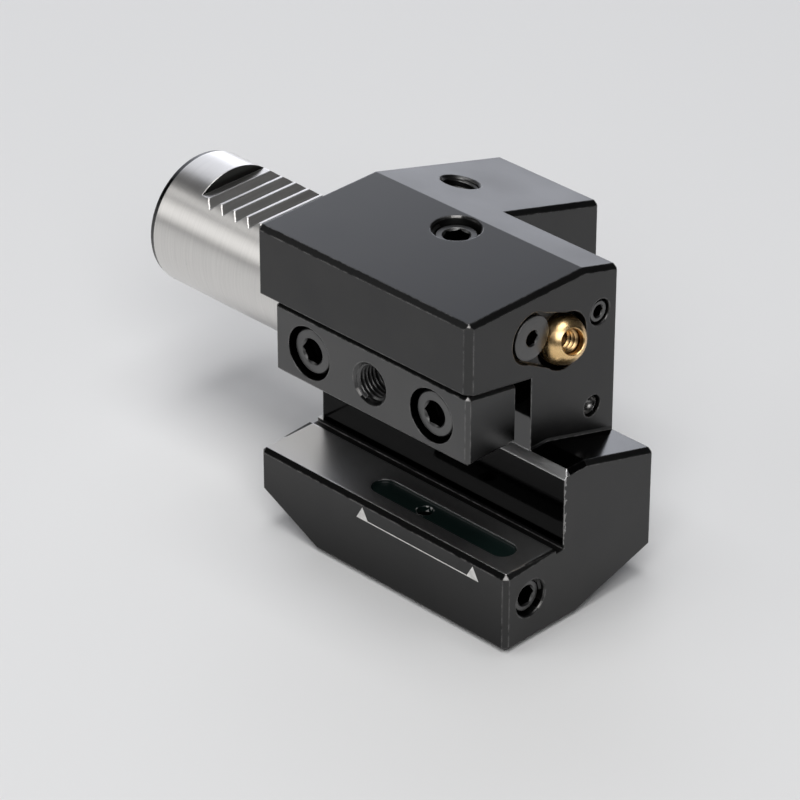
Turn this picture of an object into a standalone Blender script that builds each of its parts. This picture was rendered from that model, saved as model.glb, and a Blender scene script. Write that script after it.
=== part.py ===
"""Axial turning-tool holder with a 30 mm toothed shank, for square tools 20 mm high.

The origin is on the shank's axis in the plane of the flange face. The shank
points along -X, the tool slot is open towards -Y, and +Z is up.
"""

import math

import bmesh
import bpy
from mathutils import Matrix, Vector

# Driving dimensions, in metres
GAP = 0.0003                  # left between pieces that touch

SHANK_DIAMETER = 0.030
SHANK_LENGTH = 0.055
LEAD_IN_LENGTH = 0.0013
LEAD_IN_DEPTH = 0.00035
TOOTH_PITCH = 0.004
TOOTH_COUNT = 7
TOOTH_CREST_HEIGHT = 0.012    # above the shank's axis
TOOTH_CREST_WIDTH = 0.0006
TOOTH_DEPTH = 0.0014
TOOTH_LONG_FLANK = 0.0020
FIRST_CREST_FROM_FLANGE = 0.0425
RECESS_BEFORE_CREST = 0.0014

BODY_LENGTH = 0.070
LEDGE_LENGTH = 0.0108         # how far the base stands out in front of the head
FLANGE_THICKNESS = 0.029      # up to the notch beside the front block
SLOT_SIDE = 0.035             # shank axis to the face on the slot side
BACK_SIDE = 0.0354            # shank axis to the back face
FRONT_BLOCK_BACK = 0.008
TOP_HEIGHT = 0.032
RIDGE_Y = -0.0022
ROOF_SLOPE = math.radians(15.46)
BOTTOM_DEPTH = 0.038
BOTTOM_FLAT_WIDTH = 0.0206
UNDERSIDE_SLOPE = math.radians(16.2)
REAR_CUT_LENGTH = 0.0163
REAR_CUT_HEIGHT = 0.0079
EDGE_CHAMFER = 0.001
HEAD_CORNER_CHAMFER = 0.0014    # upright front edge of the head

TOOL_HEIGHT = 0.020           # the tool's top lies on the shank's axis
SLOT_WALL_Y = -0.0187
SLOT_WALL_RELIEF = 0.0016
LEDGE_DROP = 0.0031           # ledge in front of the head, below the axis
LEDGE_SLOPE_START = -0.0122
CORNER_GROOVE_WIDTH = 0.0020
CORNER_GROOVE_DEPTH = 0.0008
CORNER_GROOVE_UNDERCUT = 0.0003  # into the slot's wall
SPINE_REAR_CHAMFER = 0.0019

CLAMP_SLOPE = math.radians(10)
HEAD_SIDE_BOTTOM = 0.0166     # where the sloping underside meets the side face
WEDGE_REAR = 0.005
WEDGE_BACK_GAP = 0.0039       # between the wedge and the spine behind it
WEDGE_BOTTOM = 0.0005
WEDGE_CHAMFER = 0.0008
WEDGE_SCREW_SPACING = 0.0343
WEDGE_HOLE_HEIGHT = 0.0083
COUNTERBORE_DIAMETER = 0.0118
COUNTERBORE_DEPTH = 0.0072
WEDGE_CLEARANCE_HOLE = 0.0075
JACK_THREAD_DIAMETER = 0.008
JACK_MOUTH_DIAMETER = 0.0095

CAP_THREAD_DIAMETER = 0.006
CAP_HEAD_DIAMETER = 0.010
CAP_HEAD_HEIGHT = 0.006
CAP_SCREW_LENGTH = 0.020
CAP_SOCKET = 0.005
CAP_TAPPED_DEPTH = 0.0155

POCKET_START = 0.0264
POCKET_END = 0.0649
POCKET_WIDTH = 0.0056
POCKET_FROM_SIDE = 0.0072     # pocket's middle to the body's side face
POCKET_DEPTH = 0.0007
PORT_X = 0.0405
PORT_DIAMETER = 0.0036
SEAT_CHANNEL_DEPTH = 0.008    # below the tool seat
SEAT_CHANNEL_DIAMETER = 0.005

BALL_DIAMETER = 0.0105
BALL_SETBACK = 0.0012         # ball's centre behind the head's front face
BALL_CENTRE_Y = -0.0077
BALL_CENTRE_Z = 0.0181
BALL_AIM = (0.931, -0.198, 0.301)
BALL_BORE_DIAMETER = 0.005
BALL_MOUTH_DIAMETER = 0.0061
BALL_POCKET_DIAMETER = 0.0126
FEED_DIAMETER = 0.005
SEAL_WIRE = 0.0015
SEAL_MEAN_RADIUS = 0.0034

CLAMP_SCREW_Y = -0.01714
CLAMP_SCREW_Z = 0.02245
CLAMP_SCREW_HEAD = 0.0096
CLAMP_SCREW_THREAD = 0.005
CLAMP_SCREW_LENGTH = 0.014
CLAMP_SCREW_SOCKET = 0.003
CLAMP_POCKET_DIAMETER = 0.0112
POCKET_BRIDGE_DEPTH = 0.0016  # cut that joins the ball's pocket to the clamp screw's

ROOT_GROOVE_START = 0.0006    # behind the flange face
ROOT_GROOVE_WIDTH = 0.0028
ROOT_GROOVE_DEPTH = 0.0019
ROOT_SEAL_WIRE = 0.0022

VALVE_X = 0.0295
VALVE_Y = -0.0079
VALVE_DEPTH = 0.0185
RISER_X = 0.0111
RISER_Y = 0.0122
RISER_DEPTH = 0.0145
INLET_DIAMETER = 0.0065
INLET_BELOW_ROOF = 0.010
UPPER_PLUG_Y = 0.0023
UPPER_PLUG_Z = 0.0206
SHANK_BORE_Y = 0.0007
SHANK_BORE_Z = -0.0003
SHANK_BORE_DIAMETER = 0.0048
SHANK_BALL_DIAMETER = 0.0049
SHANK_BALL_RECESS = 0.0009

ROUND = 40                    # sides of a large round piece
SMALL_ROUND = 32              # sides of a small hole or screw
POCKET_ARC_STEPS = 16         # steps round each end of the shelf's pocket

# Derived sizes
SHANK_RADIUS = SHANK_DIAMETER / 2
HEAD_LENGTH = BODY_LENGTH - LEDGE_LENGTH
TOOL_SEAT_Z = -TOOL_HEIGHT
SPINE_Y = SLOT_WALL_Y + SLOT_WALL_RELIEF
WEDGE_WIDTH = SLOT_SIDE + SPINE_Y - WEDGE_BACK_GAP
BALL_CENTRE = (HEAD_LENGTH - BALL_SETBACK, BALL_CENTRE_Y, BALL_CENTRE_Z)
ROOF_FALL = math.tan(ROOF_SLOPE)
CLAMP_FALL = math.tan(CLAMP_SLOPE)
LEDGE_Z = -LEDGE_DROP
POCKET_Y = POCKET_FROM_SIDE - SLOT_SIDE
WEDGE_MIDDLE_X = (WEDGE_REAR + HEAD_LENGTH) / 2
PIECE_OVERLAP = 0.003


def roof_height(y):
    """Height of the roof above the shank's axis."""
    return TOP_HEIGHT - max(0.0, y - RIDGE_Y) * ROOF_FALL


def head_underside(y):
    """Height of the head's sloping underside, which the wedge runs along."""
    return HEAD_SIDE_BOTTOM - (y + SLOT_SIDE) * CLAMP_FALL


def ledge_height(y):
    """Height of the ledge in front of the head."""
    return LEDGE_Z - max(0.0, y - LEDGE_SLOPE_START) * ROOF_FALL


def underside_height(y):
    """Height of the body's underside."""
    flat_end = BOTTOM_FLAT_WIDTH - SLOT_SIDE
    return -BOTTOM_DEPTH + max(0.0, y - flat_end) * math.tan(UNDERSIDE_SLOPE)


def make_material(name, colour, roughness, metallic):
    material = bpy.data.materials.new(name)
    material.use_nodes = True
    shader = material.node_tree.nodes["Principled BSDF"]
    shader.inputs["Base Color"].default_value = (*colour, 1.0)
    shader.inputs["Roughness"].default_value = roughness
    shader.inputs["Metallic"].default_value = metallic
    return material


def link_object(name, bm, material=None):
    """Turn a bmesh into a linked object with its faces pointing out."""
    bmesh.ops.recalc_face_normals(bm, faces=bm.faces)
    mesh = bpy.data.meshes.new(name)
    bm.to_mesh(mesh)
    bm.free()
    piece = bpy.data.objects.new(name, mesh)
    if material:
        mesh.materials.append(material)
    bpy.context.scene.collection.objects.link(piece)
    return piece


def prism(name, outline, axis, low, high, material=None):
    """Extrude an outline along an axis.

    The outline's points are (y, z) for axis X, (x, z) for Y and (x, y) for Z.
    """
    place = {
        "X": lambda u, v: (low, u, v),
        "Y": lambda u, v: (u, low, v),
        "Z": lambda u, v: (u, v, low),
    }[axis]
    along = {"X": (1, 0, 0), "Y": (0, 1, 0), "Z": (0, 0, 1)}[axis]
    bm = bmesh.new()
    face = bm.faces.new([bm.verts.new(place(u, v)) for u, v in outline])
    grown = bmesh.ops.extrude_face_region(bm, geom=[face])
    moved = [item for item in grown["geom"] if isinstance(item, bmesh.types.BMVert)]
    bmesh.ops.translate(bm, verts=moved, vec=Vector(along) * (high - low))
    return link_object(name, bm, material)


def turned(name, profile, origin, direction, material=None, steps=ROUND, closed=False):
    """Spin (radius, distance) points about the line from origin along direction.

    A closed profile makes a ring; an open one starts and ends on the axis.
    """
    bm = bmesh.new()
    points = [bm.verts.new((radius, 0.0, distance)) for radius, distance in profile]
    ends = points[1:] + points[:1] if closed else points[1:]
    edges = [bm.edges.new(pair) for pair in zip(points, ends)]
    bmesh.ops.spin(
        bm, geom=points + edges, cent=(0, 0, 0), axis=(0, 0, 1),
        angle=2 * math.pi, steps=steps, use_merge=True,
    )
    bmesh.ops.remove_doubles(bm, verts=bm.verts, dist=1e-7)
    piece = link_object(name, bm, material)
    turn = Vector(direction).normalized().to_track_quat("Z", "Y").to_matrix().to_4x4()
    piece.matrix_world = Matrix.Translation(origin) @ turn
    shade_round(piece)
    return piece


def hexagon_hole(name, across_flats, depth, origin, direction):
    """Cutter for a hexagon socket that opens at origin and runs along direction."""
    radius = across_flats / math.sqrt(3)
    bm = bmesh.new()
    bmesh.ops.create_cone(
        bm, cap_ends=True, segments=6, radius1=radius, radius2=radius,
        depth=depth + PIECE_OVERLAP,
        matrix=Matrix.Translation((0, 0, (depth - PIECE_OVERLAP) / 2)),
    )
    piece = link_object(name, bm)
    turn = Vector(direction).normalized().to_track_quat("Z", "Y").to_matrix().to_4x4()
    piece.matrix_world = Matrix.Translation(origin) @ turn
    return piece


def set_origin(piece, origin):
    """Move a piece's origin and leave its shape where it is."""
    piece.data.transform(Matrix.Translation(-Vector(origin)))
    piece.location = origin


def shade_round(piece):
    piece.data.shade_smooth()
    piece.data.set_sharp_from_angle(angle=math.radians(30))


def combine(target, tool, operation="DIFFERENCE"):
    """Add a Boolean to target and hide the tool that it uses."""
    modifier = target.modifiers.new(tool.name, "BOOLEAN")
    modifier.operation = operation
    modifier.solver = "EXACT"
    modifier.object = tool
    tool.hide_render = True
    tool.display_type = "WIRE"


def settle(piece):
    """Replace a piece's mesh by what its modifiers make of it."""
    bpy.context.view_layer.update()
    evaluated = piece.evaluated_get(bpy.context.evaluated_depsgraph_get())
    mesh = bpy.data.meshes.new_from_object(evaluated)
    piece.modifiers.clear()
    piece.data = mesh


def blind_hole(name, diameter, depth, origin, direction, mouth=0.0, steps=ROUND):
    """Cutter for a drilled hole with a drill point and a chamfered mouth."""
    radius = diameter / 2
    point = radius * math.tan(math.radians(31))
    flare = max(0.0, mouth / 2 - radius)
    profile = [
        (0.0, -PIECE_OVERLAP),
        (radius + flare + PIECE_OVERLAP, -PIECE_OVERLAP),
        (radius + flare, 0.0),
        (radius, flare),
        (radius, depth),
        (0.0, depth + point),
    ]
    if not flare:
        profile[1:4] = [(radius, -PIECE_OVERLAP)]
    return turned(name, profile, origin, direction, steps=steps)


def set_screw(name, diameter, length, socket, origin, direction, material):
    """Grub screw with a hexagon socket; origin is its outer end."""
    radius = diameter / 2
    chamfer = 0.09 * diameter
    profile = [
        (0.0, 0.0), (radius - chamfer, 0.0), (radius, chamfer),
        (radius, length - chamfer), (radius - chamfer, length), (0.0, length),
    ]
    screw = turned(name, profile, origin, direction, material, steps=SMALL_ROUND)
    combine(screw, hexagon_hole(name + "_socket", socket, 0.55 * length, origin, direction))
    return screw


def chamfer_outer_edges(body):
    """Break the body's outer edges, leaving the slot's own edges sharp."""
    bm = bmesh.new()
    bm.from_mesh(body.data)
    bmesh.ops.remove_doubles(bm, verts=bm.verts, dist=1e-6)
    bmesh.ops.dissolve_limit(bm, angle_limit=math.radians(0.5), verts=bm.verts, edges=bm.edges)

    def inside_slot(face):
        middle = face.calc_center_median()
        wall = face.normal.y < -0.5 and middle.y > -SLOT_SIDE + EDGE_CHAMFER
        overhang = face.normal.z < -0.5 and middle.z > LEDGE_Z
        return wall or overhang

    def at_seat_rear(edge):
        return all(v.co.x < GAP and v.co.z > TOOL_SEAT_Z - GAP and v.co.y < SLOT_WALL_Y
                   and v.co.z < LEDGE_Z for v in edge.verts)

    chosen = [
        edge for edge in bm.edges
        if edge.is_convex and edge.calc_face_angle(0.0) > math.radians(50)
        and not any(inside_slot(face) for face in edge.link_faces)
        and not at_seat_rear(edge)
    ]
    bmesh.ops.bevel(
        bm, geom=chosen, offset=EDGE_CHAMFER, segments=1, profile=0.5,
        affect="EDGES", clamp_overlap=True,
    )
    bm.to_mesh(body.data)
    bm.free()


def make_block(material):
    """Body without shank and holes: flange, front block, base and tool slot."""
    outline = [
        (-SLOT_SIDE, -BOTTOM_DEPTH),
        (BOTTOM_FLAT_WIDTH - SLOT_SIDE, -BOTTOM_DEPTH),
        (BACK_SIDE, underside_height(BACK_SIDE)),
        (BACK_SIDE, roof_height(BACK_SIDE)),
        (RIDGE_Y, TOP_HEIGHT),
        (-SLOT_SIDE, TOP_HEIGHT),
    ]
    body = prism("holder_body", outline, "X", 0.0, BODY_LENGTH, material)

    far = 2 * BODY_LENGTH
    notch = prism(
        "notch_cut",
        [(FLANGE_THICKNESS, FRONT_BLOCK_BACK), (far, FRONT_BLOCK_BACK), (far, far), (FLANGE_THICKNESS, far)],
        "Z", -far, far,
    )
    combine(body, notch)

    front = prism(
        "head_front_cut",
        [
            (-far, LEDGE_Z),
            (LEDGE_SLOPE_START, LEDGE_Z),
            (FRONT_BLOCK_BACK + EDGE_CHAMFER, ledge_height(FRONT_BLOCK_BACK + EDGE_CHAMFER)),
            (FRONT_BLOCK_BACK + EDGE_CHAMFER, far),
            (-far, far),
        ],
        "X", HEAD_LENGTH, far,
    )
    combine(body, front)

    outside = -SLOT_SIDE - EDGE_CHAMFER
    slot = prism(
        "tool_slot_cut",
        [
            (outside, TOOL_SEAT_Z),
            (SLOT_WALL_Y, TOOL_SEAT_Z),
            (SLOT_WALL_Y, LEDGE_Z - SLOT_WALL_RELIEF),
            (SPINE_Y, LEDGE_Z),
            (SPINE_Y, head_underside(SPINE_Y)),
            (outside, head_underside(outside)),
        ],
        "X", -PIECE_OVERLAP, far,
    )
    combine(body, slot)

    rear = prism(
        "rear_underside_cut",
        [
            (-PIECE_OVERLAP, -far),
            (REAR_CUT_LENGTH, -BOTTOM_DEPTH - PIECE_OVERLAP),
            (REAR_CUT_LENGTH, -BOTTOM_DEPTH),
            (0.0, -BOTTOM_DEPTH + REAR_CUT_HEIGHT),
            (-PIECE_OVERLAP, -BOTTOM_DEPTH + REAR_CUT_HEIGHT * (1 + PIECE_OVERLAP / REAR_CUT_LENGTH)),
        ],
        "Y", -far, far,
    )
    combine(body, rear)
    settle(body)
    chamfer_outer_edges(body)

    corner = prism(
        "spine_rear_cut",
        [
            (-PIECE_OVERLAP, SLOT_WALL_Y + SPINE_REAR_CHAMFER + PIECE_OVERLAP),
            (SPINE_REAR_CHAMFER, SLOT_WALL_Y),
            (SPINE_REAR_CHAMFER, SLOT_WALL_Y - GAP),
            (-PIECE_OVERLAP, SLOT_WALL_Y - GAP),
        ],
        "Z", TOOL_SEAT_Z, LEDGE_Z,
    )
    combine(body, corner)

    groove = prism(
        "corner_groove_cut",
        [
            (SLOT_WALL_Y - CORNER_GROOVE_WIDTH, TOOL_SEAT_Z - CORNER_GROOVE_DEPTH),
            (SLOT_WALL_Y + CORNER_GROOVE_UNDERCUT, TOOL_SEAT_Z - CORNER_GROOVE_DEPTH),
            (SLOT_WALL_Y + CORNER_GROOVE_UNDERCUT, TOOL_SEAT_Z + CORNER_GROOVE_UNDERCUT),
            (SLOT_WALL_Y - CORNER_GROOVE_WIDTH, TOOL_SEAT_Z + CORNER_GROOVE_UNDERCUT),
        ],
        "X", -PIECE_OVERLAP, far,
    )
    combine(body, groove)

    reach = HEAD_CORNER_CHAMFER + PIECE_OVERLAP
    corner = prism(
        "head_corner_cut",
        [
            (HEAD_LENGTH - reach, -SLOT_SIDE - PIECE_OVERLAP),
            (HEAD_LENGTH + PIECE_OVERLAP, reach - SLOT_SIDE),
            (HEAD_LENGTH + PIECE_OVERLAP, -SLOT_SIDE - PIECE_OVERLAP),
        ],
        "Z", 0.0, TOP_HEIGHT + PIECE_OVERLAP,
    )
    combine(body, corner)
    return body


def pocket_bridge():
    """Cutter for the shallow web between the ball's pocket and the clamp screw's."""
    ball = Vector((BALL_CENTRE_Y, BALL_CENTRE_Z))
    screw = Vector((CLAMP_SCREW_Y, CLAMP_SCREW_Z))
    across = (ball - screw).orthogonal().normalized()
    ball_half = across * (BALL_POCKET_DIAMETER / 2 - GAP)
    screw_half = across * (CLAMP_POCKET_DIAMETER / 2 - GAP)
    corners = [ball + ball_half, screw + screw_half, screw - screw_half, ball - ball_half]
    return prism(
        "pocket_bridge_cut", [tuple(corner) for corner in corners],
        "X", HEAD_LENGTH - POCKET_BRIDGE_DEPTH, HEAD_LENGTH + PIECE_OVERLAP,
    )


def make_shank():
    """Ground shank with its lead-in, seal groove and row of teeth."""
    groove_radius = SHANK_RADIUS - ROOT_GROOVE_DEPTH
    groove_end = ROOT_GROOVE_START + ROOT_GROOVE_WIDTH
    profile = [
        (0.0, -PIECE_OVERLAP),
        (SHANK_RADIUS, -PIECE_OVERLAP),
        (SHANK_RADIUS, ROOT_GROOVE_START),
        (groove_radius, ROOT_GROOVE_START),
        (groove_radius, groove_end),
        (SHANK_RADIUS, groove_end),
        (SHANK_RADIUS, SHANK_LENGTH - LEAD_IN_LENGTH),
        (SHANK_RADIUS - LEAD_IN_DEPTH, SHANK_LENGTH),
        (0.0, SHANK_LENGTH),
    ]
    shank = turned("shank", profile, (0, 0, 0), (-1, 0, 0), steps=72)

    first = -FIRST_CREST_FROM_FLANGE
    crest = TOOTH_CREST_HEIGHT
    root = crest - TOOTH_DEPTH
    outline = [(first - TOOTH_CREST_WIDTH - RECESS_BEFORE_CREST, crest)]
    for number in range(TOOTH_COUNT):
        edge = first + number * TOOTH_PITCH
        outline += [(edge, crest), (edge + TOOTH_LONG_FLANK, root)]
        if number < TOOTH_COUNT - 1:
            outline.append((edge + TOOTH_PITCH - TOOTH_CREST_WIDTH, crest))
    outline += [
        (outline[-1][0] + SHANK_DIAMETER / 8, SHANK_DIAMETER),
        (outline[0][0], SHANK_DIAMETER),
    ]
    teeth = prism("teeth_cut", outline, "Y", -SHANK_DIAMETER, SHANK_DIAMETER)
    combine(shank, teeth)
    return shank


def drill_body(body):
    """Cut the pockets, tapped holes and coolant drillings into the body."""
    for name, x in (("rear", -0.5), ("front", 0.5)):
        origin = (WEDGE_MIDDLE_X + x * WEDGE_SCREW_SPACING, SPINE_Y, WEDGE_HOLE_HEIGHT)
        combine(body, blind_hole(
            f"wedge_tapping_{name}", CAP_THREAD_DIAMETER + 2 * GAP, CAP_TAPPED_DEPTH,
            origin, (0, 1, 0), steps=SMALL_ROUND,
        ))

    seat_y = POCKET_Y
    straight = POCKET_WIDTH / 2
    pocket = []
    for end, turn in ((POCKET_END - straight, -0.5), (POCKET_START + straight, 0.5)):
        for step in range(POCKET_ARC_STEPS + 1):
            angle = math.pi * (turn + step / POCKET_ARC_STEPS)
            pocket.append((end + straight * math.cos(angle), seat_y + straight * math.sin(angle)))
    combine(body, prism("pocket_cut", pocket, "Z", TOOL_SEAT_Z - POCKET_DEPTH, TOOL_SEAT_Z + PIECE_OVERLAP))
    combine(body, blind_hole(
        "seat_port", PORT_DIAMETER, SEAT_CHANNEL_DEPTH - POCKET_DEPTH,
        (PORT_X, seat_y, TOOL_SEAT_Z - POCKET_DEPTH), (0, 0, -1), steps=SMALL_ROUND,
    ))
    channel_origin = (BODY_LENGTH, seat_y, TOOL_SEAT_Z - SEAT_CHANNEL_DEPTH)
    combine(body, blind_hole(
        "seat_channel", SEAT_CHANNEL_DIAMETER, BODY_LENGTH - PORT_X + PORT_DIAMETER,
        channel_origin, (-1, 0, 0), steps=SMALL_ROUND,
    ))
    combine(body, blind_hole(
        "seat_channel_tapping", BASE_PLUG[0] + 2 * GAP, BASE_PLUG[1] + BASE_PLUG[3],
        channel_origin, (-1, 0, 0), mouth=BASE_PLUG[0] + 0.0012, steps=SMALL_ROUND,
    ))

    ball = Vector(BALL_CENTRE)
    ball_seat_radius = (BALL_DIAMETER / 2 + GAP) / math.sqrt(2)
    cone_end = ball.x - ball_seat_radius
    pocket_radius = BALL_POCKET_DIAMETER / 2
    counterbore = SEAL_MEAN_RADIUS + SEAL_WIRE / 2 + GAP
    seal_back = nozzle_seal_x() - SEAL_WIRE / 2 - GAP
    seat = [
        (0.0, HEAD_LENGTH + PIECE_OVERLAP),
        (pocket_radius, HEAD_LENGTH + PIECE_OVERLAP),
        (pocket_radius, cone_end + pocket_radius - ball_seat_radius),
        (counterbore, cone_end + counterbore - ball_seat_radius),
        (counterbore, seal_back),
        (FEED_DIAMETER / 2, seal_back),
        (FEED_DIAMETER / 2, VALVE_X),
        (0.0, VALVE_X),
    ]
    combine(body, turned("ball_pocket", seat, (0, ball.y, ball.z), (1, 0, 0)))

    clamp_radius = CLAMP_SCREW_HEAD / 2
    thread_radius = CLAMP_SCREW_THREAD / 2
    back_off = GAP * math.sqrt(2)
    clamp = [
        (0.0, -PIECE_OVERLAP),
        (CLAMP_POCKET_DIAMETER / 2, -PIECE_OVERLAP),
        (CLAMP_POCKET_DIAMETER / 2, clamp_head_rim() + GAP),
        (thread_radius + GAP, clamp_head_rim() + clamp_radius - thread_radius + back_off),
        (thread_radius + GAP, CLAMP_SCREW_LENGTH + GAP),
        (0.0, CLAMP_SCREW_LENGTH + GAP + thread_radius / 2),
    ]
    combine(body, turned(
        "clamp_screw_hole", clamp, (HEAD_LENGTH, CLAMP_SCREW_Y, CLAMP_SCREW_Z), (-1, 0, 0),
    ))

    combine(body, pocket_bridge())

    for plug, (origin, direction) in plug_places().items():
        if plug not in PLUG_HOLES:
            continue
        diameter, depth, mouth = PLUG_HOLES[plug]
        combine(body, blind_hole(
            plug + "_hole", diameter + 2 * GAP, depth, origin, direction, mouth, SMALL_ROUND,
        ))

    inlet_depth = INLET_BELOW_ROOF
    riser_origin, riser_direction = plug_places()["riser_plug"]
    meeting = Vector(riser_origin) + Vector(riser_direction) * inlet_depth
    combine(body, blind_hole(
        "coolant_inlet", INLET_DIAMETER, RISER_X, (0, meeting.y, meeting.z), (1, 0, 0), steps=SMALL_ROUND,
    ))
    combine(body, blind_hole(
        "shank_bore", SHANK_BORE_DIAMETER, HEAD_LENGTH + SHANK_LENGTH / 2,
        (HEAD_LENGTH, SHANK_BORE_Y, SHANK_BORE_Z), (-1, 0, 0), steps=SMALL_ROUND,
    ))
    combine(body, blind_hole(
        "shank_end_centre", SHANK_BORE_DIAMETER + 2 * GAP, SHANK_LENGTH / 2 + PIECE_OVERLAP,
        (-SHANK_LENGTH, SHANK_BORE_Y, SHANK_BORE_Z), (1, 0, 0),
        mouth=SHANK_BORE_DIAMETER * 1.7, steps=SMALL_ROUND,
    ))


# Plugs: thread diameter, length, socket across flats, depth below the face
VALVE_SCREW = (0.0094, 0.010, 0.005, 0.0015)
RISER_PLUG = (0.0074, 0.005, 0.004, 0.0034)
UPPER_PLUG = (0.0050, 0.005, 0.0025, 0.0004)
BASE_PLUG = (0.0074, 0.008, 0.004, 0.0013)

# Holes behind the plugs in the head: diameter of the screw, depth and mouth
PLUG_HOLES = {
    "valve_screw": (VALVE_SCREW[0], VALVE_DEPTH, VALVE_SCREW[0] + 0.0013),
    "riser_plug": (RISER_PLUG[0], RISER_DEPTH, RISER_PLUG[0] + 0.0015),
    "upper_plug": (UPPER_PLUG[0], UPPER_PLUG[1] + UPPER_PLUG[3] + 0.008, UPPER_PLUG[0] + 0.0009),
}


def plug_places():
    """Mouth of each plug's hole and the direction into the body."""
    return {
        "valve_screw": ((VALVE_X, VALVE_Y, TOP_HEIGHT), (0, 0, -1)),
        "riser_plug": (
            (RISER_X, RISER_Y, roof_height(RISER_Y)),
            (0, -math.sin(ROOF_SLOPE), -math.cos(ROOF_SLOPE)),
        ),
        "upper_plug": ((HEAD_LENGTH, UPPER_PLUG_Y, UPPER_PLUG_Z), (-1, 0, 0)),
        "base_plug": ((BODY_LENGTH, POCKET_Y, TOOL_SEAT_Z - SEAT_CHANNEL_DEPTH), (-1, 0, 0)),
    }


def clamp_head_rim():
    """Thickness of the cylindrical rim on the nozzle clamp screw's head."""
    return 0.06 * CLAMP_SCREW_HEAD


def nozzle_seal_x():
    """Place along X of the sealing ring that the nozzle ball rests on."""
    reach = BALL_DIAMETER / 2 + GAP + SEAL_WIRE / 2
    return BALL_CENTRE[0] - math.sqrt(reach ** 2 - SEAL_MEAN_RADIUS ** 2)


def make_plugs(steel):
    sizes = {
        "valve_screw": VALVE_SCREW,
        "riser_plug": RISER_PLUG,
        "upper_plug": UPPER_PLUG,
        "base_plug": BASE_PLUG,
    }
    for name, (origin, direction) in plug_places().items():
        diameter, length, socket, recess = sizes[name]
        start = Vector(origin) + Vector(direction) * recess
        set_screw(name, diameter, length, socket, start, direction, steel)


def make_shank_ball(steel):
    """Ball pressed into the front end of the shank's axial bore."""
    radius = SHANK_BALL_DIAMETER / 2 - GAP
    centre = (HEAD_LENGTH - SHANK_BALL_RECESS - radius, SHANK_BORE_Y, SHANK_BORE_Z)
    profile = [
        (radius * math.sin(math.pi * step / 12), -radius * math.cos(math.pi * step / 12))
        for step in range(13)
    ]
    turned("shank_bore_ball", profile, centre, (1, 0, 0), steel, steps=SMALL_ROUND)


def make_wedge(material):
    """Clamping wedge with two counterbored holes and a jacking thread."""
    outer = -SLOT_SIDE
    inner = outer + WEDGE_WIDTH
    drop = GAP / math.cos(CLAMP_SLOPE)
    outline = [
        (outer, WEDGE_BOTTOM),
        (inner, WEDGE_BOTTOM),
        (inner, head_underside(inner) - drop),
        (outer, head_underside(outer) - drop),
    ]
    wedge = prism("clamping_wedge", outline, "X", WEDGE_REAR, HEAD_LENGTH, material)
    set_origin(wedge, (WEDGE_MIDDLE_X, outer, WEDGE_HOLE_HEIGHT))
    bevel = wedge.modifiers.new("edge_chamfer", "BEVEL")
    bevel.width = WEDGE_CHAMFER
    bevel.segments = 1
    bevel.limit_method = "ANGLE"

    inward = (0, 1, 0)
    for name, side in (("rear", -0.5), ("front", 0.5)):
        origin = (WEDGE_MIDDLE_X + side * WEDGE_SCREW_SPACING, outer, WEDGE_HOLE_HEIGHT)
        bore = turned(
            f"wedge_counterbore_{name}",
            [
                (0.0, -PIECE_OVERLAP),
                (COUNTERBORE_DIAMETER / 2, -PIECE_OVERLAP),
                (COUNTERBORE_DIAMETER / 2, COUNTERBORE_DEPTH),
                (WEDGE_CLEARANCE_HOLE / 2, COUNTERBORE_DEPTH),
                (WEDGE_CLEARANCE_HOLE / 2, WEDGE_WIDTH + PIECE_OVERLAP),
                (0.0, WEDGE_WIDTH + PIECE_OVERLAP),
            ],
            origin, inward,
        )
        combine(wedge, bore)
    jack = blind_hole(
        "wedge_jack_thread", JACK_THREAD_DIAMETER, WEDGE_WIDTH + PIECE_OVERLAP,
        (WEDGE_MIDDLE_X, outer, WEDGE_HOLE_HEIGHT), inward, mouth=JACK_MOUTH_DIAMETER, steps=SMALL_ROUND,
    )
    combine(wedge, jack)
    return wedge


def make_cap_screw(name, side, material):
    """Socket cap screw seated in the wedge's counterbore."""
    head_radius = CAP_HEAD_DIAMETER / 2
    thread_radius = CAP_THREAD_DIAMETER / 2
    chamfer = 0.06 * CAP_THREAD_DIAMETER
    seat = COUNTERBORE_DEPTH - GAP
    face = seat - CAP_HEAD_HEIGHT
    tip = seat + CAP_SCREW_LENGTH
    origin = Vector((WEDGE_MIDDLE_X + side * WEDGE_SCREW_SPACING, -SLOT_SIDE, WEDGE_HOLE_HEIGHT))
    profile = [
        (0.0, face),
        (head_radius - chamfer, face),
        (head_radius, face + chamfer),
        (head_radius, seat),
        (thread_radius, seat),
        (thread_radius, tip - 2 * chamfer),
        (thread_radius - 2 * chamfer, tip),
        (0.0, tip),
    ]
    screw = turned(name, profile, origin, (0, 1, 0), material, steps=36)
    socket_start = origin + Vector((0, face, 0))
    combine(screw, hexagon_hole(name + "_socket", CAP_SOCKET, CAP_HEAD_HEIGHT / 2, socket_start, (0, 1, 0)))
    return screw


def make_nozzle(brass):
    """Swivelling coolant ball with a tapped outlet."""
    radius = BALL_DIAMETER / 2
    rings = 18
    profile = [
        (radius * math.sin(math.pi * step / rings), -radius * math.cos(math.pi * step / rings))
        for step in range(rings + 1)
    ]
    ball = turned("nozzle_ball", profile, BALL_CENTRE, BALL_AIM, brass, steps=36)
    mouth_radius = BALL_MOUTH_DIAMETER / 2
    bore_radius = BALL_BORE_DIAMETER / 2
    rim = math.sqrt(radius ** 2 - mouth_radius ** 2)
    bore = [
        (0.0, -2 * radius),
        (bore_radius, -2 * radius),
        (bore_radius, rim - (mouth_radius - bore_radius)),
        (mouth_radius, rim),
        (mouth_radius, 2 * radius),
        (0.0, 2 * radius),
    ]
    combine(ball, turned("nozzle_bore", bore, BALL_CENTRE, BALL_AIM, steps=SMALL_ROUND))
    return ball


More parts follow.
